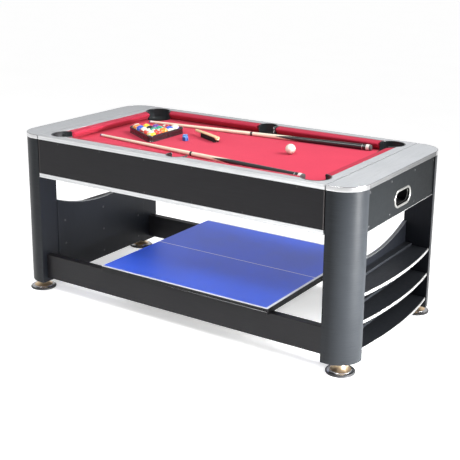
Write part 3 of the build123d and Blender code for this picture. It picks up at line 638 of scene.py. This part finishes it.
# ------------------------------------------------------------------ screws
def screw_head(r, h):
    """Domed head with a cross recess, facing +Z."""
    n = 14
    g = Geo()
    idx = {}
    verts = []
    for i in range(n + 1):
        for j in range(n + 1):
            u, v = 2 * i / n - 1, 2 * j / n - 1
            x, y = u * sqrt(1 - v * v / 2), v * sqrt(1 - u * u / 2)
            q = min(1.0, x * x + y * y)
            z = h * (0.25 + 0.75 * sqrt(max(0.0, 1 - q)))
            if (abs(x) < 0.16 and abs(y) < 0.56) or (abs(y) < 0.16 and abs(x) < 0.56):
                z -= h * 0.5
            idx[i, j] = len(verts)
            verts.append((x * r, y * r, z))
    faces = [(idx[i, j], idx[i + 1, j], idx[i + 1, j + 1], idx[i, j + 1]) for i in range(n) for j in range(n)]
    rim = [idx[i, 0] for i in range(n)] + [idx[n, j] for j in range(n)] + [idx[i, n] for i in range(n, 0, -1)] + [idx[0, j] for j in range(n, 0, -1)]
    k = len(verts)
    verts += [(verts[i][0], verts[i][1], 0.0) for i in rim]
    m = len(rim)
    faces += [(rim[i], rim[(i + 1) % m], k + (i + 1) % m, k + i) for i in range(m)]
    faces.append(tuple(range(k + m - 1, k - 1, -1)))
    return verts, faces


def screws(node, body):
    g = Geo()
    for k, (lo, hi) in enumerate(comps(node)):
        size = hi - lo
        a = min(range(3), key=lambda i: size[i])
        c = (lo + hi) / 2
        out = Vector((0, 0, 0))
        if a == 1:
            out.y = 1 if c.y > 0 else -1
        elif abs(c.x) > 0.85:
            out.x = 1 if c.x > 0 else -1
        else:
            out.x = -1 if c.x > 0 else 1
        r, h = max(size) / 2, size[a]
        base = c - out * h / 2
        M = Matrix.Translation(base) @ out.to_track_quat("Z", "Y").to_matrix().to_4x4() @ Matrix.Rotation(0.7 * k, 4, "Z")
        v, f = screw_head(r, h)
        g.add(v, f, 0, M)
    return g


make("frame_screw_heads", screws("frame_screws", "frame"), [SCREW], "frame", "frame_screws", 50)
make("apron_screw_heads", screws("apron_screws", "playfield"), [SCREW], "playfield", "apron_screws", 50)

# slim edging on the ends of the long aprons, beside the gap
lo_a, hi_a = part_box("apron_front")
g = Geo()
for sx in (1, -1):
    for sy in (1, -1):
        x0 = hi_a.x - 0.0046
        o = [(0.0, 0.0), (0.0046, 0.0), (0.0046, 0.0005), (0.0040, 0.0011), (0.0006, 0.0011), (0.0, 0.0006)]
        secs = [[(sx * (x0 + a), sy * (-lo_a.y + b), z) for a, b in o] for z in (lo_a.z + 0.0002, hi_a.z - 0.0002)]
        v, f = loft(secs)
        g.add(v, f)
make("apron_end_edging", g, [metal("dark_edging", (0.075, 0.07, 0.07), 0.38, (900, 900, 8), 1.0)], "playfield", angle=40)


# ------------------------------------------------------------------ levelers
def leveler(node, body):
    lo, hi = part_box(node)
    cx, cy = (lo.x + hi.x) / 2, (lo.y + hi.y) / 2
    P = [(0.0, 0.0, 0), (0.052, 0.0, 0), (0.0605, 0.0002, 0), (0.0628, 0.0012, 0), (0.0635, 0.003, 0), (0.0635, 0.0052, 0), (0.0630, 0.0064, 0),
         (0.0612, 0.0068, 0), (0.0610, 0.0066, 0), (0.0612, 0.0078, 0), (0.0606, 0.0092, 0), (0.0590, 0.0100, 1), (0.0560, 0.0106, 1), (0.0520, 0.0112, 1),
         (0.0490, 0.0116, 1), (0.0475, 0.0116, 1), (0.0468, 0.0122, 1), (0.0460, 0.0136, 1), (0.0448, 0.0140, 2), (0.0420, 0.0146, 2), (0.0385, 0.0160, 2),
         (0.0345, 0.0186, 2), (0.0305, 0.0222, 2), (0.0270, 0.0266, 2), (0.0242, 0.0318, 2), (0.0222, 0.0368, 2), (0.0208, 0.0410, 2), (0.0202, 0.0424, 1),
         (0.0198, 0.0428, 1), (0.0198, 0.0442, 1), (0.0190, 0.0446, 1), (0.0120, 0.0446, 1), (0.0050, 0.0447, 3)]
    z = 0.0455
    while z < 0.083:
        P += [(0.0050, z, 3), (0.0050, z + 0.0003, 3), (0.00435, z + 0.0008, 3), (0.00435, z + 0.0010, 3)]
        z += 0.0015
    P += [(0.0045, 0.0838, 3), (0.0, 0.0840, 3)]
    v, f, mm = lathe(P, 72)
    g = Geo()
    g.add([(x + cx, y + cy, zz) for x, y, zz in v], f, mm)
    make(node + "_turned", g, [RUBBER, CHROME, BRASS, STEEL], body, node, 40)


for n in ("front_left", "front_right", "back_left", "back_right"):
    leveler("leveler_" + n, "leveler_" + n)

# ------------------------------------------------------------------ cloth and cushions
src = NODES["pool_cloth"]
me = src.data.copy()
me.materials.clear()
me.materials.append(CLOTH)
b = bmesh.new()
b.from_mesh(me)
bmesh.ops.remove_doubles(b, verts=b.verts, dist=1e-5)
bmesh.ops.dissolve_limit(b, angle_limit=radians(1), verts=b.verts, edges=b.edges)
lo_k, hi_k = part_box("pool_cloth")
for axis, a, z in ((0, lo_k.x, hi_k.x), (1, lo_k.y, hi_k.y)):
    n = int((z - a) / 0.045)
    for i in range(1, n):
        p, d = Vector((0, 0, 0)), Vector((0, 0, 0))
        p[axis], d[axis] = a + (z - a) * i / n, 1
        bmesh.ops.bisect_plane(b, geom=b.verts[:] + b.edges[:] + b.faces[:], plane_co=p, plane_no=d, dist=1e-6)
for v in b.verts:
    if v.co.z > hi_k.z - 1e-5:
        for px, py, pr in [(sx * 0.684, sy * 0.365, 0.0662) for sx in (1, -1) for sy in (1, -1)] + [(0, s * 0.388, 0.049) for s in (1, -1)]:
            if abs(sqrt((v.co.x - px) ** 2 + (v.co.y - py) ** 2) - pr) < 0.0004:
                v.co.z -= 0.0005
bmesh.ops.recalc_face_normals(b, faces=b.faces)
b.to_mesh(me)
b.free()
me.polygons.foreach_set("use_smooth", np.ones(len(me.polygons), bool))
me.set_sharp_from_angle(angle=radians(35))
cloth = bpy.data.objects.new("pool_cloth_stretched", me)
bpy.context.scene.collection.objects.link(cloth)
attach(cloth, "playfield")
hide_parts("pool_cloth")


def cushion_profile(hz, bottom):
    """(distance from the rail, height) round a cushion, from the lower back, over the top, to the nose and under."""
    pts = [(0.0, bottom + 0.0005), (0.0, hz - 0.0022), (0.0006, hz - 0.0008), (0.0018, hz - 0.0001), (0.004, hz)]
    pts += [(0.012, hz - 0.0005), (0.022, hz - 0.0013), (0.031, hz - 0.0023), (0.036, hz - 0.0032)]
    pts += [(0.0405, hz - 0.0046), (0.0430, hz - 0.0060), (0.0444, hz - 0.0078), (0.0450, hz - 0.0098), (0.0446, hz - 0.0120), (0.0432, hz - 0.0140)]
    pts += [(0.036, hz - 0.0220), (0.029, hz - 0.0295), (0.0225, hz - 0.0355), (0.0180, hz - 0.0382), (0.0140, bottom)]
    return pts


def cushion(g, back, inward, along, s0, s1, k0, k1, hz, bottom):
    """Along the rail from s0 to s1 at the nose; k0 and k1 open the jaws towards the rail."""
    prof = cushion_profile(hz, bottom)
    cdist = sum(p[0] for p in prof) / len(prof)
    cz = sum(p[1] for p in prof) / len(prof)
    secs = []
    n = 44
    ts = [0, 0.0012, 0.0035] + [None] * n + [-0.0035, -0.0012, 0]
    for q, e in enumerate(ts):
        sec = []
        for d, z in prof:
            a0, a1 = s0 - (0.045 - d) * k0, s1 + (0.045 - d) * k1
            if e is None:
                t = (q - 2) / (n + 1)
                s, shrink = a0 + 0.0035 + (a1 - a0 - 0.007) * t, 1.0
            elif q < 3:
                s, shrink = a0 + e, (0.93, 0.985, 1.0)[q]
            else:
                s, shrink = a1 + e, (1.0, 0.985, 0.93)[q - len(ts) + 3]
            dd = cdist + (d - cdist) * shrink
            zz = cz + (z - cz) * shrink
            sec.append(tuple(back + inward * dd + along * s + Vector((0, 0, zz))))
        secs.append(sec)
    v, f = loft(secs)
    g.add(v, f)


g = Geo()
for k, (lo, hi) in enumerate(comps("cushions_long")):
    sy = -1 if lo.y < 0 else 1
    sx = -1 if hi.x < 0 else 1
    back = Vector((0, lo.y if sy < 0 else hi.y, 0))
    near, far = (abs(hi.x), abs(lo.x)) if sx < 0 else (lo.x, hi.x)
    s0, s1 = near + 0.003, far - 0.021
    cushion(g, back, Vector((0, -sy, 0)), Vector((sx, 0, 0)), s0, s1, 3 / 45, 21 / 45, hi.z, lo.z)
pad = make("cushions_long_covered", g, [CUSHION_SHADED], "playfield", "cushions_long", 40)
g = Geo()
for lo, hi in comps("cushions_end"):
    sx = -1 if lo.x < 0 else 1
    back = Vector((lo.x if sx < 0 else hi.x, 0, 0))
    cushion(g, back, Vector((-sx, 0, 0)), Vector((0, 1, 0)), lo.y + 0.021, hi.y - 0.021, 21 / 45, 21 / 45, hi.z, lo.z)
pad = make("cushions_end_covered", g, [CUSHION_SHADED], "playfield", "cushions_end", 40)


# ------------------------------------------------------------------ pocket liners
def liner(g, cx, cy, r, wall, face, spread, floor, bed, top):
    """Drop cup below the bed and a ribbed, lipped back wall above it. face is the direction of the wall's middle."""
    ri = r - wall
    v, f, mm = lathe([(0, floor, 0), (r - 0.007, floor, 0), (r - 0.002, floor + 0.002, 0), (r, floor + 0.007, 0), (r, bed - 0.0022, 0), (r - 0.0006, bed - 0.0006, 0),
                      (r - 0.002, bed - 0.0001, 0), (ri + 0.0008, bed - 0.0008, 0), (ri, bed - 0.003, 0), (ri, floor + 0.016, 0), (ri - 0.003, floor + 0.008, 0),
                      (ri - 0.010, floor + wall, 0), (0, floor + wall, 0)], 72)
    g.add([(x + cx, y + cy, z) for x, y, z in v], f)
    n = 96
    ribs = [radians(a) for a in (-96, 96)]
    secs = []
    for i in range(n + 1):
        a = -spread + 2 * spread * i / n
        rib = max((1 - abs(a - q) * ri / 0.0026) for q in ribs)
        bulge = 0.0012 * max(0.0, min(1.0, rib * 2.2))
        edge = min(1.0, (spread - abs(a)) * r / 0.004)
        top_i = top - 0.003 * (1 - edge) ** 2
        prof = [(r, bed), (r, top_i - 0.0016), (r - 0.0005, top_i - 0.0005), (r - 0.0016, top_i), (ri - 0.0002, top_i), (ri - 0.0014, top_i - 0.0007),
                (ri - 0.0018, top_i - 0.0020), (ri - 0.0016, top_i - 0.0042), (ri - 0.0004, top_i - 0.0056), (ri - bulge, top_i - 0.0075),
                (ri - bulge, bed + 0.012), (ri - bulge * 0.7, bed + 0.004), (ri, bed)]
        ca, sa = cos(face + a), sin(face + a)
        secs.append([(cx + q * ca, cy + q * sa, z) for q, z in prof])
    v, f = loft(secs)
    g.add(v, f)


bed_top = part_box("pool_bed")[1].z
g = Geo()
for lo, hi in comps("corner_pockets"):
    cx, cy = (lo.x + hi.x) / 2, (lo.y + hi.y) / 2
    liner(g, cx, cy, (hi.x - lo.x) / 2, 0.004, atan2(cy / abs(cy), cx / abs(cx)), acos(-36.8 / 66), lo.z, bed_top, hi.z)
make("corner_liners", g, [LINER], "playfield", "corner_pockets", 35)
g = Geo()
for lo, hi in comps("side_pockets"):
    cx, cy = (lo.x + hi.x) / 2, (lo.y + hi.y) / 2
    liner(g, cx, cy, (hi.x - lo.x) / 2, 0.004, pi / 2 if cy > 0 else -pi / 2, acos(-22 / 48.8), lo.z, bed_top, hi.z)
make("side_liners", g, [LINER], "playfield", "side_pockets", 35)


# ------------------------------------------------------------------ cues
def cue(node, body):
    a, b_ = axis_of(node)
    M = frame_along(a, b_)
    L = (b_ - a).length
    joint, s0, s1 = 0.492 * L, 0.595 * L, 0.712 * L

    def rad(x):
        x *= 1000
        L_ = L * 1000
        if x < 715:
            return (6.0 + (10.2 - 6.0) * x / 715) * MM
        return (10.2 + (13.9 - 10.2) * (x - 715) / (L_ - 6 - 715)) * MM

    P = [(0, 0.0002, 3), (0.0030, 0.0000, 3), (0.0048, 0.0008, 3), (0.0056, 0.0022, 3), (0.0058, 0.0060, 3), (0.0058, 0.0090, 4), (0.00595, 0.0092, 4), (0.0060, 0.0100, 4), (0.0061, 0.0300, 0)]
    xs = [0.030 + (joint - 0.012 - 0.030) * i / 40 for i in range(1, 41)]
    P += [(rad(x), x, 0) for x in xs]
    j0 = joint - 0.006
    P += [(rad(j0), j0 - 0.002, 0), (rad(j0) + 0.0003, j0, 2), (rad(j0) + 0.0004, j0 + 0.001, 2), (rad(j0) + 0.0004, joint + 0.005, 2), (rad(joint), joint + 0.006, 1)]
    xs = [joint + 0.006 + (s1 + 0.01 - joint - 0.006) * i / 40 for i in range(1, 41)]
    P += [(rad(x), x, 1) for x in xs[:-1]] + [(rad(xs[-1]), xs[-1], 2)]
    c0 = L - 0.026
    xs = [xs[-1] + (c0 - xs[-1]) * i / 24 for i in range(1, 25)]
    for x in xs[:-1]:
        P.append((rad(x), x, 2))
    P += [(rad(c0 - 0.020), c0 - 0.020, 6), (rad(c0 - 0.020) + 0.0001, c0 - 0.0195, 6), (rad(c0 - 0.017) + 0.0001, c0 - 0.0172, 2), (rad(c0 - 0.017), c0 - 0.017, 2)]
    P = [p for p in P if p[1] <= c0 - 0.0169 or p[2] not in (2,) or p[1] < c0 - 0.021]
    P = sorted(P, key=lambda p: p[1])
    P += [(rad(c0), c0, 4), (rad(c0) + 0.0001, c0 + 0.0004, 4), (rad(c0 + 0.016), c0 + 0.0160, 4), (rad(c0 + 0.016) - 0.0002, c0 + 0.0164, 5),
          (rad(c0 + 0.017), c0 + 0.0170, 5), (rad(c0 + 0.021), L - 0.005, 5), (0.0132, L - 0.0015, 5), (0.0110, L - 0.0002, 5), (0, L, 5)]
    v, f, mm = lathe([(r, x, m) for r, x, m in P], 40)
    g = Geo()
    g.add([(z, x, y) for x, y, z in v], f, mm)
    make(node + "_turned", g, [MAPLE, splice(s0, s1), BUTT, LEATHER, FERRULE, BUMPER, STEEL], body, node, 30, M)


cue("cue_front", "cue_front")
cue("cue_back", "cue_back")

# ------------------------------------------------------------------ rack
lo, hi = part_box("ball_rack")
z0, z1 = lo.z, hi.z
cy = (lo.y + hi.y) / 2
ang = (pi, -pi / 3, pi / 3)
R_FIL, WALL = 0.020, 0.007
# the triangle's centre: its flat side is at +X, a third of the height from the centre
side_out = hi.x
apex_round = lo.x
ro = ((side_out - apex_round) + R_FIL) / 1.5
cx = side_out - ro / 2
path = []
for k, a in enumerate(ang):
    c = Vector((cx + (ro - 2 * R_FIL) * cos(a), cy + (ro - 2 * R_FIL) * sin(a)))
    for i in range(15):
        q = a - pi / 3 + 2 * pi / 3 * i / 14
        path.append((c.x, c.y, cos(q), sin(q)))
h = z1 - z0
prof = [(R_FIL - WALL, 0.0), (R_FIL, 0.0), (R_FIL, 0.0015), (R_FIL - 0.0004, 0.0045), (R_FIL - 0.0012, 0.0052), (R_FIL - 0.0012, h - 0.009), (R_FIL - 0.0003, h - 0.0075),
        (R_FIL, h - 0.005), (R_FIL - 0.0006, h - 0.0018), (R_FIL - 0.0022, h - 0.0003), (R_FIL - 0.0035, h), (R_FIL - WALL + 0.0018, h - 0.0004),
        (R_FIL - WALL + 0.0006, h - 0.0018), (R_FIL - WALL, h - 0.004)]
secs = [[(x + nx * d, y + ny * d, z0 + z) for d, z in prof] for x, y, nx, ny in path]
v, f = loft(secs, True)
g = Geo()
g.add(v, f)
for a in ang:
    q = Vector((cx + (ro - 2 * R_FIL) * cos(a), cy + (ro - 2 * R_FIL) * sin(a)))
    tip = q + Vector((cos(a), sin(a))) * (R_FIL - 0.0045)
    v, f, mm = lathe([(0, 0.0, 0), (0.0042, 0.0002, 0), (0.0046, 0.001, 0), (0.0044, 0.0052, 0), (0.0028, 0.0066, 0), (0, 0.0070, 0)], 20)
    g.add([(x + tip.x, y + tip.y, z + z0) for x, y, z in v], f, 1)
make("ball_rack_moulded", g, [RACK, plastic("rack_foot", (0.55, 0.55, 0.54), 0.5)], "ball_rack", "ball_rack", 35)

# ------------------------------------------------------------------ balls
COLORS = {1: (0.88, 0.56, 0.03), 2: (0.03, 0.09, 0.62), 3: (0.80, 0.055, 0.03), 4: (0.15, 0.045, 0.36), 5: (0.92, 0.26, 0.03), 6: (0.02, 0.32, 0.22), 7: (0.42, 0.025, 0.03)}
BALL = {n: plastic("ball_%d" % n, c, 0.10, 1800, 0.01, coat=0.7, var=0.06) for n, c in COLORS.items()}
BALL[8] = plastic("ball_8", (0.012, 0.012, 0.013), 0.10, 1800, 0.01, coat=0.7)


def figures(text, size):
    """Flat figure outlines as triangles, centred on the origin."""
    c = bpy.data.curves.new("fig", "FONT")
    c.body = text
    c.size = size
    c.align_x, c.align_y = "CENTER", "CENTER"
    c.resolution_u = 3
    o = bpy.data.objects.new("fig", c)
    bpy.context.scene.collection.objects.link(o)
    bpy.context.view_layer.update()
    me = bpy.data.meshes.new_from_object(o)
    b = bmesh.new()
    b.from_mesh(me)
    bmesh.ops.triangulate(b, faces=b.faces)
    for _ in range(2):
        long_ = [e for e in b.edges if e.calc_length() > 0.0009]
        if long_:
            bmesh.ops.subdivide_edges(b, edges=long_, cuts=1)
            bmesh.ops.triangulate(b, faces=b.faces)
    v = [tuple(x.co) for x in b.verts]
    f = [tuple(x.index for x in q.verts) for q in b.faces]
    b.free()
    bpy.data.meshes.remove(me)
    bpy.data.objects.remove(o)
    bpy.data.curves.remove(c)
    xs, ys = [p[0] for p in v], [p[1] for p in v]
    mx, my = (max(xs) + min(xs)) / 2, (max(ys) + min(ys)) / 2
    return [(x - mx, y - my) for x, y, _ in v], f


def ball_geo(r, number):
    """Solid or banded ball with white figure spots on two sides, poles along Z."""
    g = Geo()
    stripe = number > 8
    lats = sorted(set([-90 + 180 * i / 30 for i in range(31)] + [-29.0, 29.0]))
    prof = []
    for la in lats:
        a = radians(la)
        m = 1 if stripe and not (-29.0 <= la < 29.0) else 0
        prof.append((max(0.0, r * cos(a)) if abs(la) < 89.9 else 0.0, r * sin(a), m))
    v, f, mm = lathe(prof, 56)
    g.add(v, f, mm)
    spot = radians(17)
    fv, ff = figures(str(number), 0.0105 if number < 10 else 0.0088)
    for s in (1, -1):
        cap_v, cap_f = [], []
        n, m = 28, 5
        cap_v.append((r + 0.00004, 0, 0))
        for j in range(1, m + 1):
            t = spot * j / m
            rr = r + (0.00004 if j < m else 0.0)
            for i in range(n):
                p = 2 * pi * i / n
                cap_v.append((rr * cos(t), rr * sin(t) * cos(p), rr * sin(t) * sin(p)))
        for i in range(n):
            cap_f.append((0, 1 + i, 1 + (i + 1) % n))
            for j in range(m - 1):
                a = 1 + j * n
                cap_f.append((a + i, a + n + i, a + n + (i + 1) % n, a + (i + 1) % n))
        M = Matrix.Rotation(0 if s > 0 else pi, 4, "Z")
        g.add(cap_v, cap_f, 1, M)
        g.add([tuple((Vector((sqrt(max(0, r * r - x * x - y * y)), x, y))).normalized() * (r + 0.00009)) for x, y in fv], ff, 2, M)
    return g


order = {0: 13, 1: 2, 2: 1, 3: 15, 4: 8, 5: 4, 6: 11, 7: 6, 8: 14, 9: 7, 10: 9, 11: 3, 12: 5, 13: 10, 14: 12}
tilt = {0: (25, 30, 200), 1: (80, 10, 60), 2: (20, 60, 250), 3: (-20, 10, 300), 4: (60, 20, 110), 5: (10, 80, 20), 6: (15, -20, 220), 7: (70, 40, 130), 8: (60, 35, 210),
        9: (35, 60, 90), 10: (18, -14, 280), 11: (50, 70, 170), 12: (20, 80, 320), 13: (70, 10, 240), 14: (-16, 20, 240)}
balls = sorted(comps("racked_balls"), key=lambda p: (round((p[0].x + p[1].x) / 2, 3), (p[0].y + p[1].y) / 2))
for k, (lo, hi) in enumerate(balls):
    c, r = (lo + hi) / 2, (hi.x - lo.x) / 2
    number = order[k]
    col = BALL[number if number <= 8 else number - 8]
    rx, ry, rz = (radians(a) for a in tilt[k])
    turn = Matrix.Rotation(rz, 4, "Z") @ Matrix.Rotation(ry, 4, "Y") @ Matrix.Rotation(rx, 4, "X")
    g = ball_geo(r, number)
    g.v = [tuple(turn @ Vector(p)) for p in g.v]
    make("ball_%02d" % number, g, [col, IVORY, INK], "racked_balls", "racked_balls" if k == 0 else (), 80, Matrix.Translation(c))

lo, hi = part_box("cue_ball")
g = Geo()
r = (hi.x - lo.x) / 2
v, f, mm = lathe([(r * cos(radians(-90 + 180 * i / 40)) if 0 < i < 40 else 0.0, r * sin(radians(-90 + 180 * i / 40)), 0) for i in range(41)], 72)
g.add(v, f)
make("cue_ball_polished", g, [IVORY], "cue_ball", "cue_ball", 80, Matrix.Translation((lo + hi) / 2))

# ------------------------------------------------------------------ chalk
g = Geo()
for (lo, hi), turn in zip(comps("chalk_cubes"), (20, -12)):
    c = (lo + hi) / 2
    s = 0.022
    M = Matrix.Translation((c.x, c.y, lo.z)) @ Matrix.Rotation(radians(turn), 4, "Z")
    h = hi.z - lo.z
    secs = slab(rounded(s - 0.0006, s - 0.0006, 0.0014), 0.0, h * 0.86, 0.0004)
    v, f = loft(secs)
    g.add(v, f, 1, M)
    n = 16
    verts, idx = [], {}
    for i in range(n + 1):
        for j in range(n + 1):
            u, w = 2 * i / n - 1, 2 * j / n - 1
            x, y = u * (s / 2 - 0.0008), w * (s / 2 - 0.0008)
            q = sqrt(u * u + w * w)
            z = h - 0.0004 - 0.0042 * max(0.0, 1 - (q / 0.82) ** 2) + 0.0004 * noise.noise(Vector((x * 900 + turn, y * 900, 3.0)))
            idx[i, j] = len(verts)
            verts.append((x, y, min(z, h)))
    faces = [(idx[i, j], idx[i + 1, j], idx[i + 1, j + 1], idx[i, j + 1]) for i in range(n) for j in range(n)]
    rim = [idx[i, 0] for i in range(n)] + [idx[n, j] for j in range(n)] + [idx[i, n] for i in range(n, 0, -1)] + [idx[0, j] for j in range(n, 0, -1)]
    k = len(verts)
    verts += [(verts[i][0], verts[i][1], h * 0.80) for i in rim]
    m = len(rim)
    faces += [(rim[i], rim[(i + 1) % m], k + (i + 1) % m, k + i) for i in range(m)]
    faces.append(tuple(range(k + m - 1, k - 1, -1)))
    g.add(verts, faces, 0, M)
make("chalk_wrapped", g, [CHALK, CHALK_WRAP], "chalk_cubes", "chalk_cubes", 45)

# ------------------------------------------------------------------ brush
lo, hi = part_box("cloth_brush")
a, b_ = axis_of("cloth_brush", True)
a.z = b_.z = lo.z
M = frame_along(a, b_)
L = (b_ - a).length
H = hi.z - lo.z
wood0 = H - 0.011
g = Geo()
secs = []
n = 48
for i in range(n + 1):
    t = i / n
    x = L * t
    # a slim grip at the start, a broad back over the bristles, a rounded nose
    w = 0.0085 + 0.0045 * (1 / (1 + np.exp(-(t - 0.30) * 26))) + 0.0012 * sin(pi * min(1, t / 0.28)) * (t < 0.28)
    if t < 0.05:
        w *= sqrt(max(0.02, 1 - (1 - t / 0.05) ** 2))
    if t > 0.95:
        w *= sqrt(max(0.02, 1 - ((t - 0.95) / 0.05) ** 2))
    # deeper grip and nose block, thinner back over the bristles
    back = 1 / (1 + np.exp(-(t - 0.30) * 40)) * (1 / (1 + np.exp((t - 0.93) * 90)))
    th = 0.0062 - 0.0028 * back + 0.0026 * (1 / (1 + np.exp(-(t - 0.94) * 90)))
    if t > 0.97:
        th *= 0.9
    zc = H - 0.0002 - th
    sec = []
    for j in range(20):
        q = 2 * pi * j / 20
        e = 0.62
        cc, ss = cos(q), sin(q)
        sec.append((x, w * np.sign(cc) * abs(cc) ** e, zc + th * np.sign(ss) * abs(ss) ** e))
    secs.append(sec)
v, f = loft(secs)
g.add(v, f, 0, M)
rng = np.random.default_rng(7)
x0, x1 = L * 0.30, L * 0.92
for i in range(30):
    for j in range(5):
        bx = x0 + (x1 - x0) * (i + 0.5) / 30
        by = -0.0100 + 0.020 * j / 4
        lean = Vector((rng.uniform(-0.0012, 0.0012) + 0.0010 * (i - 15) / 15, by * 0.22 + rng.uniform(-0.0010, 0.0010), 0))
        for _ in range(3):
            px, py = bx + rng.uniform(-0.0012, 0.0012), by + rng.uniform(-0.0012, 0.0012)
            secs = []
            for t, rr in ((0, 0.0009), (0.5, 0.0010), (0.93, 0.0011), (1.0, 0.0006)):
                z = wood0 + 0.0052 + (0.0012 - wood0 - 0.0042) * t
                secs.append([(px + lean.x * t * t + rr * cos(2 * pi * k / 6), py + lean.y * t * t + rr * sin(2 * pi * k / 6), z) for k in range(6)])
            v, f = loft(secs)
            g.add(v, f, 1, M)
make("cloth_brush_tufted", g, [OAK, BRISTLE], "cloth_brush", "cloth_brush", 50)

# ------------------------------------------------------------------ studio
bpy.ops.mesh.primitive_plane_add(size=80, location=(0, 0, -0.0002))
floor = bpy.context.object
floor.name = "studio_floor"
fm = Mat("studio_paper").set(Specular_IOR_Level=0.0)
fn = fm.noise(2.0, (1, 1, 1), 2.0)
fm.link(fm.ramp(fn, [(0.3, (0.90, 0.90, 0.90)), (0.7, (0.92, 0.92, 0.92))]), fm.b.inputs["Base Color"])
fm.link(fm.range(fn, 0.85, 0.9), fm.b.inputs["Roughness"])
fm.set(Emission_Color=(1, 1, 1, 1), Emission_Strength=0.49)
floor.data.materials.append(fm.m)

world = bpy.data.worlds.new("studio")
bpy.context.scene.world = world
world.use_nodes = True
bg = world.node_tree.nodes["Background"]
bg.inputs[0].default_value = (1.0, 1.0, 1.0, 1)
bg.inputs[1].default_value = 1.0
wt = world.node_tree
wc, ws, wr = wt.nodes.new("ShaderNodeTexCoord"), wt.nodes.new("ShaderNodeSeparateXYZ"), wt.nodes.new("ShaderNodeMapRange")
wr.interpolation_type = "SMOOTHSTEP"
wr.inputs[1].default_value, wr.inputs[2].default_value, wr.inputs[3].default_value, wr.inputs[4].default_value = 0.02, 0.24, 0.96, 0.54
wt.links.new(wc.outputs["Generated"], ws.inputs[0])
wt.links.new(ws.outputs[2], wr.inputs[0])
wt.links.new(wr.outputs[0], bg.inputs[0])


def area_light(name, at, to, size, watts, spread):
    d = bpy.data.lights.new(name, "AREA")
    d.shape = "RECTANGLE"
    d.size, d.size_y = size
    d.energy = watts
    d.spread = radians(spread)
    o = bpy.data.objects.new(name, d)
    o.location = at
    o.rotation_euler = (Vector(to) - Vector(at)).to_track_quat("-Z", "Y").to_euler()
    o.visible_camera = False
    bpy.context.scene.collection.objects.link(o)


area_light("key", (3.1, 1.1, 3.4), (0.2, 0, 0.75), (1.7, 1.7), 38, 80)
area_light("strip", (3.9, -0.35, 0.62), (0.88, -0.44, 0.38), (0.9, 1.0), 40, 30)
area_light("front_top", (-0.2, -2.3, 4.0), (0.0, -0.35, 0.5), (2.6, 1.3), 16, 70)

cam = bpy.data.cameras.new("camera")
cam.sensor_width = 36.0
cam.lens = 951.817 / 460 * 36
cam.shift_y = -50.0 / 460
cam.clip_end = 200
co = bpy.data.objects.new("camera", cam)
bpy.context.scene.collection.objects.link(co)
yaw, pitch, roll = -0.5837673, 0.2631815, 0.0095006
fwd = Vector((sin(yaw) * cos(pitch), cos(yaw) * cos(pitch), -sin(pitch)))
right = Vector((cos(yaw), -sin(yaw), 0))
up = right.cross(fwd)
rx = right * cos(roll) + up * sin(roll)
uy = up * cos(roll) - right * sin(roll)
M = Matrix.Identity(4)
for i in range(3):
    M[i][0], M[i][1], M[i][2] = rx[i], uy[i], -fwd[i]
M.translation = Vector((2.441457, -3.655335, 1.788368))
co.matrix_world = M
bpy.context.scene.camera = co
bpy.context.scene.view_settings.view_transform = "Standard"
